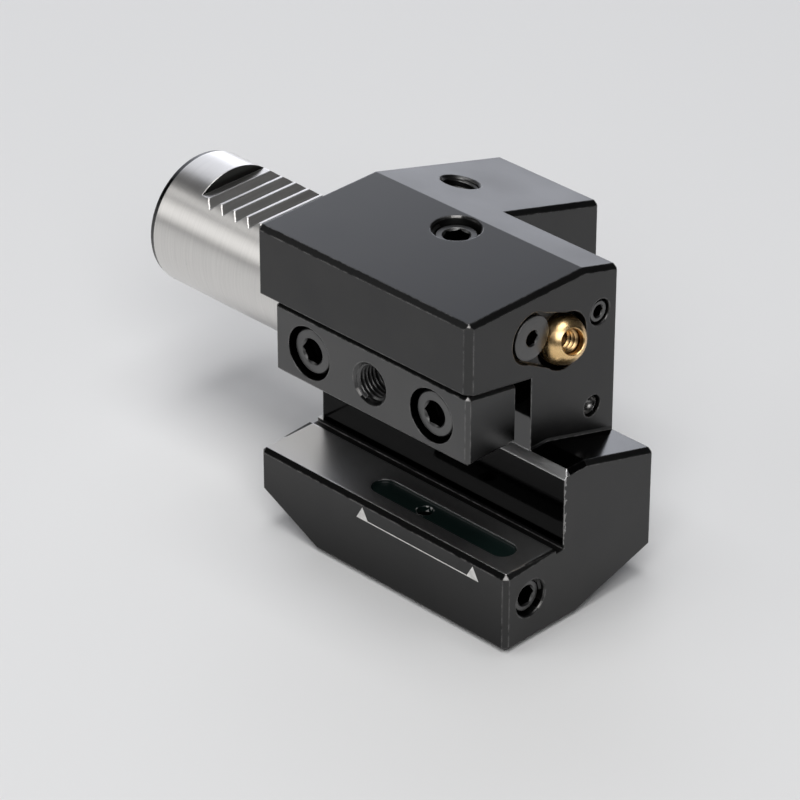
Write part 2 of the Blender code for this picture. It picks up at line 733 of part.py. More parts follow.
def make_clamp_screw(steel):
    """Countersunk screw whose head holds the nozzle ball in its seat."""
    head_radius = CLAMP_SCREW_HEAD / 2
    thread_radius = CLAMP_SCREW_THREAD / 2
    rim = clamp_head_rim()
    neck = rim + head_radius - thread_radius
    profile = [
        (0.0, 0.0),
        (head_radius - rim / 3, 0.0),
        (head_radius, rim / 3),
        (head_radius, rim),
        (thread_radius, neck),
        (thread_radius, CLAMP_SCREW_LENGTH - rim),
        (thread_radius - rim, CLAMP_SCREW_LENGTH),
        (0.0, CLAMP_SCREW_LENGTH),
    ]
    origin = (HEAD_LENGTH, CLAMP_SCREW_Y, CLAMP_SCREW_Z)
    screw = turned("nozzle_clamp_screw", profile, origin, (-1, 0, 0), steel, steps=36)
    combine(screw, hexagon_hole(
        "nozzle_clamp_socket", CLAMP_SCREW_SOCKET, 0.5 * neck + rim, origin, (-1, 0, 0),
    ))
    return screw


def seal_ring(name, mean_radius, wire, origin, direction, material, steps=36):
    """Round-section sealing ring."""
    sides = 10
    profile = [
        (mean_radius + wire / 2 * math.cos(2 * math.pi * step / sides),
         wire / 2 * math.sin(2 * math.pi * step / sides))
        for step in range(sides)
    ]
    return turned(name, profile, origin, direction, material, steps=steps, closed=True)


def main():
    for item in list(bpy.data.objects):
        bpy.data.objects.remove(item, do_unlink=True)

    black_oxide = make_material("black_oxide_steel", (0.045, 0.045, 0.048), 0.38, 0.55)
    screw_steel = make_material("black_screw_steel", (0.03, 0.03, 0.032), 0.42, 0.5)
    brass = make_material("turned_brass", (0.83, 0.60, 0.25), 0.22, 1.0)
    rubber = make_material("black_rubber", (0.02, 0.02, 0.02), 0.6, 0.0)

    body = make_block(black_oxide)
    combine(body, make_shank(), "UNION")
    drill_body(body)
    make_wedge(black_oxide)
    make_cap_screw("wedge_screw_rear", -0.5, screw_steel)
    make_cap_screw("wedge_screw_front", 0.5, screw_steel)
    make_nozzle(brass)
    make_clamp_screw(screw_steel)
    make_plugs(screw_steel)
    make_shank_ball(screw_steel)

    seal_ring(
        "nozzle_seal_ring", SEAL_MEAN_RADIUS, SEAL_WIRE,
        (nozzle_seal_x(), BALL_CENTRE[1], BALL_CENTRE[2]), (1, 0, 0), rubber,
    )
    groove_radius = SHANK_RADIUS - ROOT_GROOVE_DEPTH
    seal_ring(
        "shank_seal_ring", groove_radius + GAP + ROOT_SEAL_WIRE / 2, ROOT_SEAL_WIRE,
        (-ROOT_GROOVE_START - ROOT_GROOVE_WIDTH / 2, 0, 0), (1, 0, 0), rubber, steps=48,
    )
    bpy.context.view_layer.update()


main()
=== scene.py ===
"""Dressed model of an axial turning-tool holder with a toothed shank.

The shank points along -X, the tool slot is open towards -Y, and +Z is up.
"""

import math

import bmesh
import bpy
from mathutils import Matrix, Vector


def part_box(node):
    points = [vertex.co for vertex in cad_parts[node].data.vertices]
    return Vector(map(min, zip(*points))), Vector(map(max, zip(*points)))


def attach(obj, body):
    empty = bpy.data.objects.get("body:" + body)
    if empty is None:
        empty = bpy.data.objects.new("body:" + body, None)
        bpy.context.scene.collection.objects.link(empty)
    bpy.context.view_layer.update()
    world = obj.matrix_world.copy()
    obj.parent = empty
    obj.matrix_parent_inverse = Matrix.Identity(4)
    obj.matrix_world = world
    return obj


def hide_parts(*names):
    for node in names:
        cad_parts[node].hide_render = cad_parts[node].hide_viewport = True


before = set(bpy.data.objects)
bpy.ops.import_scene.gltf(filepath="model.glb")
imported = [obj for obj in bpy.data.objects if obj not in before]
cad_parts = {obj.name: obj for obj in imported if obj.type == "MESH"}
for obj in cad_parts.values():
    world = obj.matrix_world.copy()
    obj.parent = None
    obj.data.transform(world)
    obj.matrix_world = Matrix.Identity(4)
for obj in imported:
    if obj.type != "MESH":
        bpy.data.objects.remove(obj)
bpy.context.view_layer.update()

MM = 0.001

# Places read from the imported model, in metres
BODY_LOW, BODY_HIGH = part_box("holder_body")
SHANK_END_X, SIDE_Y, BASE_BOTTOM_Z = BODY_LOW
BASE_FRONT_X = BODY_HIGH[0]
WEDGE_BOTTOM_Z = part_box("clamping_wedge")[0][2]
WEDGE_SCREWS = ("wedge_screw_rear", "wedge_screw_front")

# Places that the boxes don't give
TOP_Z = 32 * MM
SEAT_Z = -20 * MM
SLOT_TOP_Z = 16.1 * MM
SLOT_WALL_Y = -18.7 * MM
LEDGE_Z = -3.1 * MM               # top of the base, in front of the spine
LEDGE_BEND_Y = -12.2 * MM         # past here the ledge slopes down
LEDGE_FALL = 0.276                # its drop for each metre of Y
SPINE_FRONT_X = 59.2 * MM
SPINE_Y = -17.1 * MM
ROOF_SLOPE = math.radians(15.46)
ROOF_NORMAL = (0.0, math.sin(ROOF_SLOPE), math.cos(ROOF_SLOPE))
SHANK_RADIUS = 15 * MM
LEAD_IN = 1.25 * MM               # chamfer at the shank's free end
RUN_OUT_X = -44 * MM              # the wall of the teeth's run-out lies past here
POCKET_ENDS = (26.4 * MM, 64.9 * MM)
POCKET_Y = -27.8 * MM
POCKET_RADIUS = 2.8 * MM
PORT_X = 40.5 * MM
RISER_PLUG_LENGTH = 5 * MM
RISER_PLUG_DEPTH = 3.4 * MM       # of the plug's face below the roof

# Coolant ball; heights run along its bore from its centre
BALL_CENTRE = (58 * MM, -7.7 * MM, 18.1 * MM)
BALL_AIM = (0.931, -0.198, 0.301)
BALL_RADIUS = 5.25 * MM
BALL_MOUTH = 2.8 * MM
BALL_BORE = 2.62 * MM
BALL_BACK_BORE = 1.5 * MM
BALL_BORE_END = -2.4 * MM
BALL_THREAD_CREST = 2.0 * MM
BALL_THREAD_PITCH = 1.35 * MM
BALL_THREAD_TURNS = 3.5
BALL_THREAD_START = -2.0 * MM
BALL_GROOVES_END = 2.9 * MM

# Clamping mark on the base's side: a line between two triangles
MARK_PROUD = 0.02 * MM
MARK_LINE = (31.6 * MM, 59.2 * MM)
MARK_LINE_Z = -24.2 * MM
MARK_LINE_WIDTH = 0.24 * MM
MARK_TRIANGLE_WIDTH = 3.3 * MM
MARK_TRIANGLE_HEIGHT = 2.9 * MM

# Turned and threaded pieces
AXIS_OFFSET = 1 * MM              # radius of the circle that a profile is swept round
WELD = 0.002 * MM
RIDGE_PER_PITCH = 0.55            # size of a thread ridge's three-cornered section
MOUTH_CHAMFER = 0.1 * MM          # round a hexagon socket, past its corners
CONE_SPARE = 0.3 * MM             # by which the chamfer's cone stands out of the face
SOCKET_SHADE_HEIGHT = -0.45 * MM        # a screw's own height below which its socket is painted dark as shade

# How much light the black oxide gives back, seen straight on
BODY_TONE = 0.058
WEDGE_TONE = 0.10
# Near black: painted shade in the wedge's counterbores and the screws' sockets
RECESS_SHADE_TONE = 0.012
SEAT_TONE = 0.8
SLOT_WALL_TONE = 0.085
# Near black: painted shade on the slot's wall below the ledge
LOW_WALL_SHADE_TONE = 0.006

# Shares of the piece's own tone; all but the ledge's are painted shade, on the chamfers, the flat top, the
# base's low side and the wedge's front
LOW_CHAMFER_SHADE_SHARE = 0.12
HIGH_CHAMFER_SHADE_SHARE = 0.45
LEDGE_SHARE = 0.32
FAR_TOP_SHADE_SHARE = 0.5
LOW_SIDE_SHADE_SHARE = 0.3
WEDGE_FOOT_SHADE_SHARE = 0.04
WEDGE_HEAD_SHADE_SHARE = 0.6

# Roughness; pairs run with the pattern that the finish follows
OXIDE_ROUGHNESS = (0.32, 0.38)
SLOT_WALL_ROUGHNESS = 0.09
SEAT_ROUGHNESS = (0.28, 0.31)
LEDGE_ROUGHNESS = (0.14, 0.22)
POCKET_ROUGHNESS = 0.3
WEDGE_FRONT_ROUGHNESS = 0.26
GROUND_ROUGHNESS = (0.25, 0.34)
SCREW_ROUGHNESS = (0.28, 0.40)
CLOSURE_ROUGHNESS = (0.22, 0.32)
BRASS_ROUGHNESS = (0.22, 0.34)
RUBBER_ROUGHNESS = (0.45, 0.65)

# Sizes of what the finishes show
CLOUD_SIZE = 16 * MM
GRAIN_SIZE = 0.9 * MM
GRAIN_SHARE = 0.1                 # of the grain in the oxide's relief
WORN_WIDTH = 0.45 * MM
MILLING_LINES = 0.5 * MM
FRONT_LINES = 0.7 * MM
GRINDING_LINES = 0.35 * MM
WEDGE_SHADE_FADE = (1 * MM, 13 * MM)    # heights over the wedge's bottom of the painted shade on its front
RECESS_RADIUS = 6 * MM            # of the cap screws' counterbores, painted dark as shade, with some to spare
# Bands of the painted highlights on the pocket's far rim and round its port
RIM_BAND = (POCKET_RADIUS - 0.03 * MM, POCKET_RADIUS + 0.07 * MM)
RIM_DEPTH = 0.12 * MM
PORT_BAND = (0.9 * MM, 1.9 * MM)
FRONT_BURR_WIDTH = 2.6 * MM
FOOT_RISE = 0.75 * MM
HAIR = 0.1 * MM                   # keeps a mask's limit clear of the face that it is for

# Least and greatest part of a face's normal along an axis
FORWARD = (0.9, 1.1)
UPWARDS = (0.7, 1.1)
LEVEL = (0.99, 1.1)
SIDEWAYS = (-1.1, -0.9)
CHAMFER_OUT, CHAMFER_UP = (-0.8, -0.5), (0.5, 0.8)
CORNER_OUT, CORNER_UP = (-0.8, -0.4), (0.4, 0.8)

# Colours of the metals; pairs run from the darker to the lighter
WORN_STEEL = (0.30, 0.295, 0.29)
# Lighter corner facets: a painted highlight, with handling wear
CORNER_HIGHLIGHT_STEEL = (0.20, 0.195, 0.19)
POCKET_OIL = (0.004, 0.010, 0.009)
RIM_GLINT = (0.2, 0.2, 0.195)
PORT_GLINT = (0.5, 0.5, 0.49)
RUN_OUT_STEEL = (0.04, 0.04, 0.037)
GROUND_STEEL = ((0.61, 0.595, 0.575), (0.75, 0.735, 0.71))
SCREW_STEEL = ((0.10, 0.10, 0.10), (0.15, 0.149, 0.147))
CLOSURE_STEEL = ((0.16, 0.16, 0.16), (0.24, 0.235, 0.23))
BRASS = ((0.78, 0.50, 0.22), (0.93, 0.68, 0.36))
BRASS_GROOVE = (0.10, 0.05, 0.02)
RUBBER = ((0.014, 0.014, 0.014), (0.024, 0.024, 0.024))
LASERED = ((0.60, 0.59, 0.57), (0.85, 0.84, 0.82))

# Normals are blended between faces that meet at less than this
SLIGHT_ANGLE = math.radians(12)
AREA_SCALE = 1e12                 # brings squared areas in metres near 1
SHARP_ANGLE = math.radians(35)    # on turned pieces
FOOT_NORMAL = (0.954, 0.0, 0.3)   # of the small round at the spine's foot

# Camera, as the photograph was taken
PHOTO_SIDE = 800
FOCAL_PIXELS = 4165.9
SENSOR_WIDTH = 36.0
CAMERA_PLACE = (0.536644, -0.532864, 0.426524)
CAMERA_RIGHT = (0.70809, 0.70612, 0.00083)
CAMERA_UP = (-0.36164, 0.36163, 0.85932)

# Studio
WATTS_PER_RADIANCE = math.pi
LIT_POINT = Vector((0.02, -0.005, 0.0))
WHITE = (1.0, 1.0, 1.0)
BLUISH = (0.94, 0.97, 1.06)
FLOOR_HALF = 6.0
FLOOR_GREY = (0.8, 0.8, 0.8, 1.0)
WORLD_GREY = (0.04, 0.04, 0.042, 1.0)

# Name, azimuth from +X and elevation in degrees, distance, width, height, radiance, colour
SOFTBOXES = (
    ("key_softbox", -46, 43, 1.3, 0.9, 0.8, 3.4, WHITE),
    ("top_softbox", 180, 88, 1.5, 1.0, 1.0, 3.8, WHITE),
    ("back_panel", 145, 27, 1.6, 1.4, 1.5, 1.05, BLUISH),
    ("low_back_strip", 128, 8, 1.5, 1.1, 0.6, 1.3, BLUISH),
    ("left_softbox", 228, 16, 1.6, 0.9, 0.6, 1.3, WHITE),
    ("left_strip", 221, 36, 1.6, 1.0, 0.16, 1.8, WHITE),
)

# Node, direction out of its socket, radius, length, chamfer, socket width and depth
GRUB_SCREWS = (
    ("valve_screw", (0, 0, 1), 4.7 * MM, 10 * MM, 0.6 * MM, 5 * MM, 4 * MM),
    ("riser_plug", ROOF_NORMAL, 3.7 * MM, RISER_PLUG_LENGTH, 0.5 * MM, 4 * MM, 2.6 * MM),
    ("upper_plug", (1, 0, 0), 2.5 * MM, 5 * MM, 0.35 * MM, 2.5 * MM, 2.4 * MM),
    ("base_plug", (1, 0, 0), 3.7 * MM, 8 * MM, 0.5 * MM, 4 * MM, 3.5 * MM),
)

# Node, radius of the ring's middle line, radius of its round section
SEAL_RINGS = (
    ("nozzle_seal_ring", 3.4 * MM, 0.75 * MM),
    ("shank_seal_ring", 14.5 * MM, 1.1 * MM),
)


def middle(node):
    """Middle of a CAD node's box."""
    low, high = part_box(node)
    return (Vector(low) + Vector(high)) / 2


# Node trees


def add(tree, kind, inputs=None, **options):
    """Add a node, set its options, and set or link its inputs."""
    node = tree.nodes.new(kind)
    for name, value in options.items():
        setattr(node, name, value)
    for key, value in (inputs or {}).items():
        if isinstance(value, bpy.types.NodeSocket):
            tree.links.new(value, node.inputs[key])
        else:
            node.inputs[key].default_value = value
    return node


def calculate(tree, operation, *values):
    """Add a Math node and return its result."""
    return add(tree, "ShaderNodeMath", dict(enumerate(values)), operation=operation).outputs[0]


def new_group(name, kind, inputs, outputs):
    """Start a node group with named sockets; it comes back with its start and its end."""
    group = bpy.data.node_groups.new(name, kind)
    for label, (socket, value) in inputs.items():
        made = group.interface.new_socket(label, in_out="INPUT", socket_type="NodeSocket" + socket)
        if value is not None:
            made.default_value = value
    for label, socket in outputs.items():
        group.interface.new_socket(label, in_out="OUTPUT", socket_type="NodeSocket" + socket)
    start = group.nodes.new("NodeGroupInput")
    end = group.nodes.new("NodeGroupOutput")
    return group, start.outputs, end.inputs


def place_group(tree, group, inputs):
    """Place a node group with its own values and return its outputs."""
    kind = group.bl_idname.replace("Tree", "Group")
    return add(tree, kind, inputs, node_tree=group).outputs


def mix_value(tree, factor, first, second):
    return add(tree, "ShaderNodeMix", {0: factor, 2: first, 3: second}, data_type="FLOAT").outputs[0]


def mix_colour(tree, factor, first, second):
    first, second = (
        colour if isinstance(colour, bpy.types.NodeSocket) else (*colour, 1.0) for colour in (first, second)
    )
    return add(tree, "ShaderNodeMix", {0: factor, 6: first, 7: second}, data_type="RGBA").outputs[2]


def ramp(tree, value, start, end, most=1.0):
    """0 before start, rising to most at end."""
    return add(tree, "ShaderNodeMapRange", {
        "Value": value, "From Min": start, "From Max": end, "To Max": most,
    }).outputs[0]


def noise(tree, place, scale, detail):
    return add(tree, "ShaderNodeTexNoise", {"Vector": place, "Scale": scale, "Detail": detail}).outputs["Fac"]


def both(tree, *masks):
    """1 where every mask is 1."""
    joined = masks[0]
    for mask in masks[1:]:
        joined = calculate(tree, "MULTIPLY", joined, mask)
    return joined


def outside(tree, mask):
    """1 where the mask is 0."""
    return calculate(tree, "SUBTRACT", 1.0, mask)


def between(tree, value, low, high):
    """1 where value lies between low and high, else 0."""
    above = calculate(tree, "GREATER_THAN", value, low)
    below = calculate(tree, "LESS_THAN", value, high)
    return calculate(tree, "MULTIPLY", above, below)


def plane_length(tree, first, second):
    """Length of a step in a plane, from its two parts."""
    flat = add(tree, "ShaderNodeCombineXYZ", {0: first, 1: second})
    return add(tree, "ShaderNodeVectorMath", {0: flat.outputs[0]}, operation="LENGTH").outputs["Value"]


def distance_from(tree, spot, first, second, centre):
    """Distance in the plane of two axes from a round feature's middle."""
    return plane_length(
        tree,
        calculate(tree, "SUBTRACT", spot[first], centre[0]),
        calculate(tree, "SUBTRACT", spot[second], centre[1]),
    )


# Effects shared by the finishes


def build_cutter_marks():
    """Fine parallel lines left by a cutter, drawn along one direction."""
    group, given, result = new_group(
        "cutter marks", "ShaderNodeTree",
        {
            "Place": ("Vector", None),
            "Stretch": ("Vector", (1.0, 1.0, 1.0)),
            "Spacing": ("Float", 0.0004),
        },
        {"Value": "Float"},
    )
    stretched = add(group, "ShaderNodeVectorMath", {
        0: given["Place"], 1: given["Stretch"],
    }, operation="MULTIPLY")
    scale = calculate(group, "DIVIDE", 1.0, given["Spacing"])
    group.links.new(noise(group, stretched.outputs[0], scale, 3.0), result["Value"])
    return group


def build_clouding():
    """Slow change over a surface, such as an oil film or a patchy blacking bath."""
    group, given, result = new_group(
        "clouding", "ShaderNodeTree",
        {
            "Place": ("Vector", None),
            "Size": ("Float", 0.012),
            "Low": ("Float", 0.0),
            "High": ("Float", 1.0),
        },
        {"Value": "Float"},
    )
    scale = calculate(group, "DIVIDE", 1.0, given["Size"])
    spread = add(group, "ShaderNodeMapRange", {
        "Value": noise(group, given["Place"], scale, 4.0), "From Min": 0.3, "From Max": 0.7,
        "To Min": given["Low"], "To Max": given["High"],
    })
    group.links.new(spread.outputs[0], result["Value"])
    return group


def build_worn_edges():
    """Mask of the edges, broken up by noise, and the normal of slightly rounded edges."""
    group, given, result = new_group(
        "worn edges", "ShaderNodeTree",
        {
            "Place": ("Vector", None),
            "Width": ("Float", 0.0003),
            "Strength": ("Float", 1.0),
        },
        {"Mask": "Float", "Normal": "Vector"},
    )
    rounded = add(group, "ShaderNodeBevel", {"Radius": given["Width"]}, samples=6)
    surface = add(group, "ShaderNodeNewGeometry")
    turn = add(group, "ShaderNodeVectorMath", {
        0: rounded.outputs[0], 1: surface.outputs["Normal"],
    }, operation="DOT_PRODUCT")
    edge = ramp(group, outside(group, turn.outputs["Value"]), 0.01, 0.05)
    patches = ramp(group, noise(group, given["Place"], 700.0, 3.0), 0.35, 0.65)
    group.links.new(both(group, edge, patches, given["Strength"]), result["Mask"])
    group.links.new(rounded.outputs[0], result["Normal"])
    return group


def build_turning_rings():
    """Rings that a lathe leaves on the end face of a turned piece."""
    group, given, result = new_group(
        "turning rings", "ShaderNodeTree",
        {"Own Place": ("Vector", None), "Spacing": ("Float", 0.0003)},
        {"Value": "Float"},
    )
    parts = add(group, "ShaderNodeSeparateXYZ", {0: given["Own Place"]}).outputs
    steps = calculate(group, "DIVIDE", plane_length(group, parts["X"], parts["Y"]), given["Spacing"])
    line = add(group, "ShaderNodeCombineXYZ", {0: steps, 2: parts["Z"]})
    group.links.new(noise(group, line.outputs[0], 1.0, 2.0), result["Value"])
    return group


MARKS = build_cutter_marks()
CLOUDS = build_clouding()
EDGES = build_worn_edges()
RINGS = build_turning_rings()


# Finishes


class Surface:
    """What an oxide finish reads of the spot that it colours."""

    def __init__(self, tree):
        self.tree = tree
        self.place = add(tree, "ShaderNodeTexCoord").outputs["Object"]
        self.spot = add(tree, "ShaderNodeSeparateXYZ", {0: self.place}).outputs
        true_normal = add(tree, "ShaderNodeNewGeometry").outputs["True Normal"]
        self.facing = add(tree, "ShaderNodeSeparateXYZ", {0: true_normal}).outputs
        self.forward = self.faces("X", FORWARD)

    def beyond(self, axis, limit):
        """1 where the spot lies past the limit."""
        return calculate(self.tree, "GREATER_THAN", self.spot[axis], limit)

    def before(self, axis, limit):
        """1 where the spot lies short of the limit."""
        return calculate(self.tree, "LESS_THAN", self.spot[axis], limit)

    def within(self, axis, low, high):
        """1 where the spot lies between two limits."""
        return between(self.tree, self.spot[axis], low, high)

    def faces(self, axis, limits):
        """1 where the part of the face's normal along an axis lies between two limits."""
        return between(self.tree, self.facing[axis], *limits)

    def clouds(self, size):
        return place_group(self.tree, CLOUDS, {"Place": self.place, "Size": size})["Value"]

    def marks(self, stretch, spacing):
        """Cutter marks that run along the axis with the small stretch."""
        return place_group(self.tree, MARKS, {
            "Place": self.place, "Stretch": stretch, "Spacing": spacing,
        })["Value"]


class Coat:
    """Colour and roughness of a finish, painted over one mask at a time."""

    def __init__(self, tree, colour, roughness):
        self.tree = tree
        self.colour = colour
        self.roughness = roughness

    def paint(self, mask, colour=None, roughness=None):
        """Take this colour, this roughness or both where the mask is 1."""
        if colour is not None:
            self.colour = mix_colour(self.tree, mask, self.colour, colour)
        if roughness is not None:
            self.roughness = mix_value(self.tree, mask, self.roughness, roughness)


def grey(tone):
    return (tone, tone, tone)


def new_material(name):
    """A material with its node tree and its Principled shader."""
    material = bpy.data.materials.new(name)
    material.use_nodes = True
    tree = material.node_tree
    return material, tree, tree.nodes["Principled BSDF"]


def paint_chamfer_shade_and_corner_highlight(coat, surface, tone):
    """Painted shade on the open side's chamfers, deepest below the slot's top, and a painted highlight with
    handling wear on the corner facets that face the key lamp.
    """
    tree = surface.tree
    # The chamfers are darkened as painted shade, less so above the slot's top.
    chamfer = both(tree, surface.faces("Y", CHAMFER_OUT), surface.faces("Z", CHAMFER_UP))
    low_chamfer_shade, high_chamfer_shade = grey(tone * LOW_CHAMFER_SHADE_SHARE), grey(tone * HIGH_CHAMFER_SHADE_SHARE)
    coat.paint(chamfer, mix_colour(tree, surface.beyond("Z", SLOT_TOP_Z), low_chamfer_shade, high_chamfer_shade))
    # Corner facets facing the key lamp are painted lighter: a painted highlight, with handling wear.
    corner = both(
        tree, surface.faces("X", CORNER_UP), surface.faces("Y", CORNER_OUT), surface.faces("Z", CORNER_UP),
    )
    coat.paint(corner, CORNER_HIGHLIGHT_STEEL)


def paint_slot(coat, surface, tone, grain, upright):
    """The tool slot's bright seat and dark wall, with painted shade on the wall below the ledge, and the
    ledge in front of the spine.
    """
    tree = surface.tree
    in_slot = both(
        tree, outside(tree, surface.forward), surface.within("Z", SEAT_Z - HAIR / 2, SLOT_TOP_Z),
        surface.before("Y", SPINE_Y + HAIR / 2),
    )
    upwards = surface.faces("Z", UPWARDS)
    # The slot's wall below the ledge is painted near black as shade.
    shaded_below_ledge = surface.before("Z", LEDGE_Z - 0.6 * MM)
    wall_tone = mix_colour(tree, shaded_below_ledge, grey(SLOT_WALL_TONE), grey(LOW_WALL_SHADE_TONE))
    slot_tone = mix_colour(tree, upwards, wall_tone, grey(SEAT_TONE))
    seat_roughness = mix_value(tree, grain, *SEAT_ROUGHNESS)
    coat.paint(in_slot, slot_tone, mix_value(tree, upwards, SLOT_WALL_ROUGHNESS, seat_roughness))
    on_ledge = both(
        tree, upwards, surface.within("Z", SEAT_Z + MM, LEDGE_Z + HAIR), surface.beyond("Y", SPINE_Y),
    )
    coat.paint(on_ledge, grey(tone * LEDGE_SHARE), mix_value(tree, upright, *LEDGE_ROUGHNESS))


def paint_shade_fall_off(coat, surface, tone):
    """Painted shade: the flat top darkens towards the front, and the base's side towards the bottom."""
    tree = surface.tree
    on_flat_top = both(tree, surface.beyond("Z", TOP_Z - HAIR), surface.faces("Z", LEVEL))
    # Painted shade on the flat top, deepening towards the front.
    front_shade_ramp = ramp(tree, surface.spot["X"], 0.0, SPINE_FRONT_X)
    coat.paint(both(tree, on_flat_top, front_shade_ramp), grey(tone * FAR_TOP_SHADE_SHARE))
    # Painted shade on the base's side, deepening towards the bottom.
    low_side_shade_ramp = ramp(tree, surface.spot["Z"], SEAT_Z, BASE_BOTTOM_Z, 0.7)
    coat.paint(both(tree, surface.faces("Y", SIDEWAYS), low_side_shade_ramp), grey(tone * LOW_SIDE_SHADE_SHARE))


def painted_pocket_glints(surface):
    """Painted highlights: broken bright glints along the pocket's far rim and round its port."""
    tree, spot = surface.tree, surface.spot
    middle_x = (POCKET_ENDS[0] + POCKET_ENDS[1]) / 2
    straight = (POCKET_ENDS[1] - POCKET_ENDS[0]) / 2 - POCKET_RADIUS
    along = calculate(tree, "ABSOLUTE", calculate(tree, "SUBTRACT", spot["X"], middle_x))
    past = calculate(tree, "MAXIMUM", calculate(tree, "SUBTRACT", along, straight), 0.0)
    across = calculate(tree, "SUBTRACT", spot["Y"], POCKET_Y)
    reach = plane_length(tree, past, across)
    jags = noise(tree, surface.place, 1100.0, 2.0)
    rim = both(
        tree, between(tree, reach, *RIM_BAND), calculate(tree, "GREATER_THAN", across, 0.4 * MM),
        surface.beyond("Z", SEAT_Z - RIM_DEPTH), calculate(tree, "GREATER_THAN", jags, 0.5),
    )
    port = both(
        tree, between(tree, distance_from(tree, spot, "X", "Y", (PORT_X, POCKET_Y)), *PORT_BAND),
        calculate(tree, "GREATER_THAN", jags, 0.58),
    )
    return rim, port


def front_burr(surface):
    """Ragged bright edge where the slot's wall meets the base's front."""
    tree = surface.tree
    jags = noise(tree, surface.place, 900.0, 3.0)
    width = calculate(tree, "MULTIPLY", calculate(tree, "SUBTRACT", jags, 0.36), FRONT_BURR_WIDTH)
    depth = calculate(tree, "SUBTRACT", surface.spot["Y"], SLOT_WALL_Y)
    return both(
        tree, surface.forward, surface.beyond("X", BASE_FRONT_X - HAIR),
        calculate(tree, "LESS_THAN", depth, width), surface.within("Z", SEAT_Z, LEDGE_Z),
    )


def paint_wear_and_pocket(coat, surface, worn):
    """Worn edges and the front burr, then the oily pocket in the seat with painted highlights on its far rim
    and port; returns the pocket's mask.
    """
    tree = surface.tree
    near_pocket = both(
        tree, surface.within("Z", SEAT_Z - 2 * MM, SEAT_Z + HAIR),
        surface.within("Y", POCKET_Y - 3.3 * MM, POCKET_Y + 3.3 * MM),
        surface.within("X", POCKET_ENDS[0] - MM, POCKET_ENDS[1] + MM),
    )
    in_pocket = both(tree, near_pocket, surface.before("Z", SEAT_Z - 0.02 * MM))
    wear = both(tree, worn, outside(tree, near_pocket))
    coat.paint(calculate(tree, "MAXIMUM", wear, front_burr(surface)), WORN_STEEL)
    coat.paint(in_pocket, POCKET_OIL, POCKET_ROUGHNESS)
    # Painted highlights on the pocket's far rim and round its port.
    rim, port = painted_pocket_glints(surface)
    coat.paint(both(tree, near_pocket, rim), RIM_GLINT)
    coat.paint(both(tree, near_pocket, port), PORT_GLINT)
    return in_pocket


def paint_shank(coat, surface):
    """Ground steel with a dark run-out; returns the shank's mask and its grinding marks."""
    tree = surface.tree
    ground = surface.within("X", SHANK_END_X + LEAD_IN, -HAIR / 2)
    around = surface.marks((1.0, 0.03, 0.03), GRINDING_LINES)
    run_out = both(tree, surface.forward, surface.before("X", RUN_OUT_X))
    steel = mix_colour(tree, run_out, mix_colour(tree, around, *GROUND_STEEL), RUN_OUT_STEEL)
    coat.paint(ground, steel, mix_value(tree, around, *GROUND_ROUGHNESS))
    return ground, around


def paint_wedge(coat, surface, tone, worn):
    """The wedge's front darkens towards the bottom as painted shade, and its counterbores are painted dark as
    shade.
    """
    tree = surface.tree
    # Painted shade on the wedge's front, deepening towards the bottom.
    front_shade_fade = ramp(tree, surface.spot["Z"], *(WEDGE_BOTTOM_Z + height for height in WEDGE_SHADE_FADE))
    front_shade_tone = mix_colour(tree, front_shade_fade, grey(tone * WEDGE_FOOT_SHADE_SHARE), grey(tone * WEDGE_HEAD_SHADE_SHARE))
    coat.paint(surface.forward, front_shade_tone, WEDGE_FRONT_ROUGHNESS)
    near_screws = []
    for node in WEDGE_SCREWS:
        axis = middle(node)
        reach = distance_from(tree, surface.spot, "X", "Z", (axis.x, axis.z))
        near_screws.append(calculate(tree, "LESS_THAN", reach, RECESS_RADIUS))
    # The counterbores are painted near black as shade.
    counterbore_shade = both(tree, calculate(tree, "MAXIMUM", *near_screws), surface.beyond("Y", SIDE_Y + 0.12 * MM))
    coat.paint(worn, WORN_STEEL)
    coat.paint(counterbore_shade, grey(RECESS_SHADE_TONE))


def ledge_foot(surface):
    """Narrow band where the spine's front runs into the ledge in a small round."""
    tree, spot = surface.tree, surface.spot
    past = calculate(tree, "MAXIMUM", calculate(tree, "SUBTRACT", spot["Y"], LEDGE_BEND_Y), 0.0)
    foot = calculate(tree, "SUBTRACT", LEDGE_Z, calculate(tree, "MULTIPLY", past, LEDGE_FALL))
    rise = calculate(tree, "SUBTRACT", spot["Z"], foot)
    return both(
        tree, surface.forward, between(tree, rise, -HAIR, FOOT_RISE),
        surface.within("X", SPINE_FRONT_X - HAIR, SPINE_FRONT_X + HAIR),
    )


